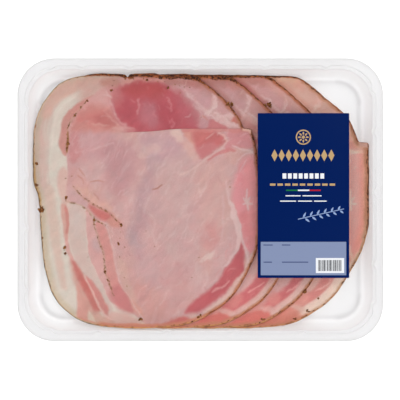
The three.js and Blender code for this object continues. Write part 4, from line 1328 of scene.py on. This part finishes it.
def crumb_places(random):
    """Crumbs near every slice's edge: thick along the top, and few elsewhere."""
    places = []
    for index in range(len(SLICE_SHIFTS)):
        outline = ragged_outline(index, 0.3)
        run = np.roll(outline, -1, axis=0) - np.roll(outline, 1, axis=0)
        inward = np.column_stack([-run[:, 1], run[:, 0]]) / np.hypot(*run.T)[:, None]
        px, py = picture_place(index, *outline.T)
        on_top = soft_step(83, 79, py) * soft_step(86, 94, px)
        at_right = soft_step(150, 170, px) * (1 - on_top)
        skin = top_crust(index, px)
        amount = 0.04 + 0.5 * on_top * (skin > 1.2) + 0.1 * at_right
        depth = 0.2 + random.random(len(outline)) * (0.4 + 0.42 * skin * on_top)
        drawn = random.random(len(outline)) < amount
        places.append(on_slice(index, (outline + inward * depth[:, None])[drawn]))
    return np.vstack(places)


def lump_places(random):
    places = []
    for index, middle, spread, count in LUMPS:
        marks = np.array(middle) + random.normal(0, spread, (count, 2))
        places.append(on_slice(index, np.column_stack(tray_place(*marks.T))))
    return np.vstack(places)


def grain_tree():
    """Small uneven grains on points: an input for their size, one for the seed and one for the stuff."""
    tree = bpy.data.node_groups.new("stuck grains", "GeometryNodeTree")
    face = tree.interface
    face.new_socket("Geometry", in_out="INPUT", socket_type="NodeSocketGeometry")
    sockets = {
        "Grain Size": face.new_socket("Grain Size", in_out="INPUT", socket_type="NodeSocketFloat"),
        "Seed": face.new_socket("Seed", in_out="INPUT", socket_type="NodeSocketInt"),
        "Material": face.new_socket("Material", in_out="INPUT", socket_type="NodeSocketMaterial"),
    }
    face.new_socket("Geometry", in_out="OUTPUT", socket_type="NodeSocketGeometry")
    entry = add_node(tree, "NodeGroupInput")
    leave = add_node(tree, "NodeGroupOutput")
    grain = add_node(tree, "GeometryNodeMeshIcoSphere")
    grain.inputs["Subdivisions"].default_value = 2
    half = add_node(tree, "ShaderNodeMath", operation="MULTIPLY")
    half.inputs[1].default_value = 0.5
    stretch = add_node(tree, "FunctionNodeRandomValue", data_type="FLOAT_VECTOR")
    stretch.inputs["Min"].default_value = (0.4, 0.35, 0.35)
    stretch.inputs["Max"].default_value = (1.5, 0.9, 0.7)
    turn = add_node(tree, "FunctionNodeRandomValue", data_type="FLOAT_VECTOR")
    turn.inputs["Max"].default_value = (0.6, 0.6, 6.28)
    spread = add_node(tree, "GeometryNodeInstanceOnPoints")
    solid = add_node(tree, "GeometryNodeRealizeInstances")
    dents = add_node(tree, "ShaderNodeTexNoise", noise_dimensions="3D")
    dents.inputs["Scale"].default_value = 2600
    shift = add_node(tree, "ShaderNodeVectorMath", operation="SUBTRACT")
    shift.inputs[1].default_value = (0.5, 0.5, 0.5)
    depth = add_node(tree, "ShaderNodeVectorMath", operation="SCALE")
    moved = add_node(tree, "GeometryNodeSetPosition")
    stuff = add_node(tree, "GeometryNodeSetMaterial")
    for start, socket, end, target in (
        (entry, "Grain Size", half, 0), (half, 0, grain, "Radius"), (entry, "Geometry", spread, "Points"),
        (grain, "Mesh", spread, "Instance"), (entry, "Seed", stretch, "Seed"), (entry, "Seed", turn, "Seed"),
        (stretch, "Value", spread, "Scale"), (turn, "Value", spread, "Rotation"),
        (spread, "Instances", solid, "Geometry"), (solid, "Geometry", moved, "Geometry"),
        (dents, "Color", shift, 0), (shift, 0, depth, 0), (entry, "Grain Size", depth, "Scale"),
        (depth, 0, moved, "Offset"), (moved, "Geometry", stuff, "Geometry"), (entry, "Material", stuff, "Material"),
        (stuff, "Geometry", leave, "Geometry"),
    ):
        tree.links.new(start.outputs[socket], end.inputs[target])
    return tree, {name: socket.identifier for name, socket in sockets.items()}


def stick_grains(name, places, size, material):
    """Turn places into one mesh of grains stuck to the meat."""
    piece = make_object(name, places, [])
    growth = piece.modifiers.new("grains", "NODES")
    growth.node_group = grains
    growth[grain_inputs["Grain Size"]] = size * MM
    growth[grain_inputs["Seed"]] = GRAIN_SEED
    growth[grain_inputs["Material"]] = material
    bpy.context.view_layer.update()
    seen = piece.evaluated_get(bpy.context.evaluated_depsgraph_get())
    grown = bpy.data.meshes.new_from_object(seen)
    piece.modifiers.clear()
    piece.data = grown
    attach(piece, "root")


def dry_stuff(name, colour, other):
    """Dry dull stuff in two mixed tones."""
    material, tree, shader = new_material(name)
    place = add_node(tree, "ShaderNodeTexCoord")
    noise = add_node(tree, "ShaderNodeTexNoise")
    noise.inputs["Scale"].default_value = 700
    mix = add_node(tree, "ShaderNodeMix", data_type="RGBA")
    mix.inputs[6].default_value = (*to_linear(colour), 1)
    mix.inputs[7].default_value = (*to_linear(other), 1)
    share = add_node(tree, "ShaderNodeMapRange")
    share.inputs["From Min"].default_value = 0.46
    share.inputs["From Max"].default_value = 0.58
    tree.links.new(place.outputs["Object"], noise.inputs["Vector"])
    tree.links.new(noise.outputs["Fac"], share.inputs["Value"])
    tree.links.new(share.outputs["Result"], mix.inputs["Factor"])
    tree.links.new(mix.outputs[2], shader.inputs["Base Color"])
    shader.inputs["Roughness"].default_value = 0.7
    shader.inputs["Specular IOR Level"].default_value = 0.2
    return material


grains, grain_inputs = grain_tree()
grain_random = np.random.default_rng(GRAIN_SEED)
dried_herb = dry_stuff("dried herb", (120, 86, 50), (158, 112, 70))
burnt_crumb = dry_stuff("burnt crumb", (58, 26, 9), (176, 100, 48))
browned_lump = dry_stuff("browned lump", (106, 63, 33), (152, 99, 53))
stick_grains("herb_flecks", herb_places(grain_random), HERB_SIZE, dried_herb)
stick_grains("crust_crumbs", crumb_places(grain_random), CRUMB_SIZE, burnt_crumb)
stick_grains("crust_lumps", lump_places(grain_random), LUMP_SIZE, browned_lump)

# The film lid: a clear thin sheet, heat-sealed on the tray's flange all round and drawn flat.
film_low, film_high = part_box("film")
FILM_CORNER = 21.6


def rounded_outline(low_x, low_y, high_x, high_y, radius, steps=12):
    """A rectangle with rounded corners, anticlockwise, in millimetres."""
    points = []
    for sign_x, sign_y, start in ((1, 1, 0), (-1, 1, 90), (-1, -1, 180), (1, -1, 270)):
        centre_x = high_x - radius if sign_x > 0 else low_x + radius
        centre_y = high_y - radius if sign_y > 0 else low_y + radius
        for i in range(steps + 1):
            angle = math.radians(start + 90 * i / steps)
            points.append((centre_x + radius * math.cos(angle), centre_y + radius * math.sin(angle)))
    return points


def make_plates(name, outlines, low, high, material):
    """Flat plates between two heights, one for each outline, joined as one piece."""
    places, faces = [], []
    for outline in outlines:
        first, count = len(places), len(outline)
        places += [(x, y, high) for x, y in outline] + [(x, y, low) for x, y in outline]
        faces.append(tuple(range(first, first + count)))
        faces.append(tuple(reversed(range(first + count, first + 2 * count))))
        for i in range(count):
            j = (i + 1) % count
            faces.append((first + i, first + count + i, first + count + j, first + j))
    piece = make_object(name, places, faces, smooth=False)
    piece.data.materials.append(material)
    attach(piece, "root")
    return piece


def clear_film():
    """Clear film: see-through, with a faint mirror on it that grows towards its edges."""
    material, tree, shader = new_material("clear lid film")
    tree.nodes.remove(shader)
    clear = add_node(tree, "ShaderNodeBsdfTransparent")
    clear.inputs["Color"].default_value = (0.998, 0.999, 1, 1)
    mirror = add_node(tree, "ShaderNodeBsdfGlossy")
    mirror.inputs["Roughness"].default_value = 0.12
    # The mirror's share grows with the slant alone, alike from both faces of the sheet
    slant = add_node(tree, "ShaderNodeLayerWeight")
    slant.inputs["Blend"].default_value = 0.5
    steep = add_node(tree, "ShaderNodeMath", operation="POWER")
    steep.inputs[1].default_value = 5
    share = add_node(tree, "ShaderNodeMapRange")
    share.inputs["To Min"].default_value = 0.015
    share.inputs["To Max"].default_value = 0.9
    tree.links.new(slant.outputs["Facing"], steep.inputs[0])
    tree.links.new(steep.outputs["Value"], share.inputs["Value"])
    mix = add_node(tree, "ShaderNodeMixShader")
    output = tree.nodes["Material Output"]
    tree.links.new(share.outputs["Result"], mix.inputs["Fac"])
    tree.links.new(clear.outputs["BSDF"], mix.inputs[1])
    tree.links.new(mirror.outputs["BSDF"], mix.inputs[2])
    tree.links.new(mix.outputs["Shader"], output.inputs["Surface"])
    return material


film_outline = rounded_outline(film_low.x / MM, film_low.y / MM, film_high.x / MM, film_high.y / MM, FILM_CORNER)
film = make_plates("lid_film", [film_outline], film_low.z / MM, film_high.z / MM, clear_film())
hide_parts("film")

# The label: a printed coated card stuck on the film. Its print is a navy field, a pale panel and
# plain gold, white and coloured marks, each a film of ink on the card. The marks' places are read
# off the photograph, in its pixels.
label_low, label_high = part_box("label")
INK = 0.02
NAVY = (0, 26, 82)
PANEL_BLUE = (125, 137, 168)
GOLD = (182, 152, 110)
WHITE = (226, 228, 232)
SKY = (138, 160, 200)


def from_picture(points):
    """Places in millimetres for points in the photograph's pixels."""
    return [((px - PICTURE_MIDDLE[0]) * PIXEL, (PICTURE_MIDDLE[1] - py) * PIXEL) for px, py in points]


def ink(name, colour, roughness=0.2):
    material, tree, shader = new_material(name)
    shader.inputs["Base Color"].default_value = (*to_linear(colour), 1)
    shader.inputs["Roughness"].default_value = roughness
    shader.inputs["Specular IOR Level"].default_value = 0.1
    return material


def block(left, top, right, bottom):
    return [(left, bottom), (right, bottom), (right, top), (left, top)]


def print_marks(name, shapes, layer, material):
    high = label_high.z / MM + layer * INK
    outlines = [from_picture(shape) for shape in shapes]
    piece = make_plates(name, outlines, high - INK, high, material)
    return piece


def ring(centre_x, centre_y, inner, outer, steps=24):
    """A ring as short curved blocks."""
    shapes = []
    for i in range(steps):
        start, end = 2 * math.pi * i / steps, 2 * math.pi * (i + 1) / steps
        shapes.append([
            (centre_x + outer * math.cos(start), centre_y - outer * math.sin(start)),
            (centre_x + outer * math.cos(end), centre_y - outer * math.sin(end)),
            (centre_x + inner * math.cos(end), centre_y - inner * math.sin(end)),
            (centre_x + inner * math.cos(start), centre_y - inner * math.sin(start)),
        ])
    return shapes


def lozenge(centre_x, centre_y, half_x, half_y):
    return [(centre_x - half_x, centre_y), (centre_x, centre_y + half_y),
            (centre_x + half_x, centre_y), (centre_x, centre_y - half_y)]


def leaf(x, y, degrees, length, width):
    """A small pointed leaf that starts at x, y."""
    way_x, way_y = math.cos(math.radians(degrees)), -math.sin(math.radians(degrees))
    shape = []
    for along, side in ((0, 0), (0.3, -0.5), (0.65, -0.4), (1, 0), (0.65, 0.4), (0.3, 0.5)):
        shape.append((x + length * along * way_x - width * side * way_y,
                      y + length * along * way_y + width * side * way_x))
    return shape


card_outline = rounded_outline(label_low.x / MM, label_low.y / MM, label_high.x / MM, label_high.y / MM, 0.6, 4)
card = make_plates("label_card", [card_outline], label_low.z / MM, label_high.z / MM, ink("navy print", NAVY))
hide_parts("label")

gold_ink = ink("gold print", GOLD)
white_ink = ink("white print", WHITE)
print_marks("label_panel", [block(260.7, 241.8, 346.2, 275.2)], 1, ink("pale panel print", PANEL_BLUE))
rosette = ring(303.3, 137.2, 6.4, 7.6) + [lozenge(303.3, 137.2, 2.0, 2.0)]
for petal in range(8):
    turn = 45 * petal
    angle = math.radians(turn)
    rosette.append(leaf(303.3 + 2.2 * math.cos(angle), 137.2 - 2.2 * math.sin(angle), turn, 3.6, 1.8))
gold_row = [lozenge(274.5 + 7.1 * i, 155.4, 3.1, 6.0) for i in range(9)]
gold_band = [block(270 + 7.45 * i, 183.5, 275.4 + 7.45 * i, 185.7) for i in range(9)]
print_marks("label_gold", rosette + gold_row + gold_band, 1, gold_ink)
white_row = [block(282.5 + 5.4 * i, 173.4, 286.3 + 5.4 * i, 178.6) for i in range(8)]
white_rules = [block(285.5, 195.3, 300.5, 196.3), block(302.5, 195.3, 321.5, 196.3),
               block(280, 200.6, 296, 201.6), block(298, 200.6, 312, 201.6), block(314, 200.6, 326.5, 201.6)]
print_marks("label_white", white_row + white_rules + [block(297.9, 189.6, 309.2, 191)], 1, white_ink)
print_marks("label_green", [block(286, 189.6, 297.9, 191)], 1, ink("green print", (30, 110, 60)))
print_marks("label_red", [block(309.2, 189.6, 320.7, 191)], 1, ink("red print", (170, 30, 45)))
sprig = [[(298, 219.6), (320, 214.6), (344, 209.2), (344, 208.5), (320, 213.8), (298, 218.8)]]
for i in range(6):
    stem_x, stem_y = 303 + 7 * i, 218 - 1.55 * i
    sprig.append(leaf(stem_x, stem_y - 0.3, 62, 6.2 - 0.3 * i, 2.0))
    sprig.append(leaf(stem_x + 2, stem_y + 0.3, -38, 6.0 - 0.3 * i, 2.0))
print_marks("label_sprig", sprig, 1, ink("sky print", SKY))
fine_marks = [block(263.3, 244.6, 272.7, 245.4), block(281.9, 244.6, 290.3, 245.4),
              block(263.5, 261.7, 272, 262.5), block(281.9, 261.7, 308.2, 262.5)]
print_marks("label_fine_marks", fine_marks, 2, ink("navy fine print", (40, 52, 98)))
print_marks("label_code_patch", [block(315.8, 258, 344.1, 273)], 2, white_ink)
bars = []
bar_x = 318.2
for width, gap in ((0.5, 0.5), (0.9, 0.4), (0.4, 0.8), (0.7, 0.5), (0.4, 0.4), (1.1, 0.6), (0.5, 0.9), (0.8, 0.4),
                   (0.4, 0.6), (0.6, 0.5), (1.0, 0.4), (0.4, 0.9), (0.7, 0.4), (0.5, 0.5), (0.9, 0.6), (0.4, 0.4),
                   (0.6, 0.8), (0.5, 0.4), (0.8, 0.5), (0.5, 0.5)):
    bars.append(block(bar_x, 260, bar_x + width, 271))
    bar_x += width + gap
print_marks("label_code_bars", bars, 3, ink("dark code print", (38, 38, 44)))

# The studio: a plain white floor, soft light from all sides and the camera straight overhead.
HOOD_EDGE = 0.97
HOOD_FULL = 0.985
TENT_LIGHT = 0.8
HORIZON_LIGHT = 1.06
HORIZON_LOW = 0.1
HORIZON_HIGH = 0.55
CAMERA_HEIGHT = 1.2
SENSOR = 36
PICTURE_WIDTH = 400

floor_mesh = bpy.data.meshes.new("floor")
floor_mesh.from_pydata([(-1.5, -1.5, 0), (1.5, -1.5, 0), (1.5, 1.5, 0), (-1.5, 1.5, 0)], [], [(0, 1, 2, 3)])
floor = bpy.data.objects.new("floor", floor_mesh)
bpy.context.scene.collection.objects.link(floor)
paper, paper_tree, paper_shader = new_material("white studio floor")
paper_shader.inputs["Base Color"].default_value = (0.54, 0.54, 0.54, 1)
paper_shader.inputs["Roughness"].default_value = 0.9
paper_shader.inputs["Emission Color"].default_value = (1, 1, 1, 1)
paper_shader.inputs["Emission Strength"].default_value = 0.8
floor_mesh.materials.append(paper)

world = bpy.data.worlds.new("studio world")
world.use_nodes = True
sky = world.node_tree
direction = add_node(sky, "ShaderNodeTexCoord")
heading = add_node(sky, "ShaderNodeSeparateXYZ")
sky.links.new(direction.outputs["Generated"], heading.inputs["Vector"])
# Straight overhead the tent is dark, so that the film and the print mirror no light
hood = add_node(sky, "ShaderNodeMapRange", interpolation_type="SMOOTHSTEP")
hood.inputs["From Min"].default_value = HOOD_EDGE
hood.inputs["From Max"].default_value = HOOD_FULL
hood.inputs["To Min"].default_value = 1.0
hood.inputs["To Max"].default_value = 0.0
# Near the horizon it is brighter, so that the tray's walls are lit
horizon = add_node(sky, "ShaderNodeMapRange", interpolation_type="SMOOTHSTEP")
horizon.inputs["From Min"].default_value = HORIZON_LOW
horizon.inputs["From Max"].default_value = HORIZON_HIGH
horizon.inputs["To Min"].default_value = HORIZON_LIGHT
horizon.inputs["To Max"].default_value = TENT_LIGHT
glow = add_node(sky, "ShaderNodeMath", operation="MULTIPLY")
sky.links.new(heading.outputs["Z"], hood.inputs["Value"])
sky.links.new(heading.outputs["Z"], horizon.inputs["Value"])
sky.links.new(hood.outputs["Result"], glow.inputs[0])
sky.links.new(horizon.outputs["Result"], glow.inputs[1])
sky.nodes["Background"].inputs["Color"].default_value = (1, 1, 1, 1)
sky.links.new(glow.outputs["Value"], sky.nodes["Background"].inputs["Strength"])
bpy.context.scene.world = world


def add_softbox(turn, reach, height, tilt, size, power):
    """A round soft light that stands off to one side and looks at the pack."""
    lamp = bpy.data.lights.new("softbox", "AREA")
    lamp.shape = "DISK"
    lamp.size = size
    lamp.energy = power
    softbox = bpy.data.objects.new("softbox", lamp)
    angle = math.radians(turn)
    softbox.location = (reach * math.cos(angle), reach * math.sin(angle), height)
    softbox.rotation_euler = (math.radians(tilt), 0, angle + math.radians(90))
    bpy.context.scene.collection.objects.link(softbox)


for turn, power in ((45, 1.3), (135, 0.7), (225, 0.7), (315, 1.3)):
    add_softbox(turn, 0.5, 1.25, 22, 0.5, power)
for turn in (0, 90, 180, 270):
    add_softbox(turn, 0.65, 0.6, 47, 0.5, 0.65)

camera_data = bpy.data.cameras.new("overhead camera")
camera_data.sensor_width = SENSOR
camera_data.lens = SENSOR * CAMERA_HEIGHT / MM / (PICTURE_WIDTH * PIXEL)
camera_data.clip_start = 0.1
camera = bpy.data.objects.new("overhead camera", camera_data)
camera.location = (
    (PICTURE_WIDTH / 2 - PICTURE_MIDDLE[0]) * PIXEL * MM,
    (PICTURE_MIDDLE[1] - PICTURE_WIDTH / 2) * PIXEL * MM,
    TRAY_DEPTH * MM + CAMERA_HEIGHT,
)
bpy.context.scene.collection.objects.link(camera)
bpy.context.scene.camera = camera
bpy.context.scene.view_settings.view_transform = "Standard"
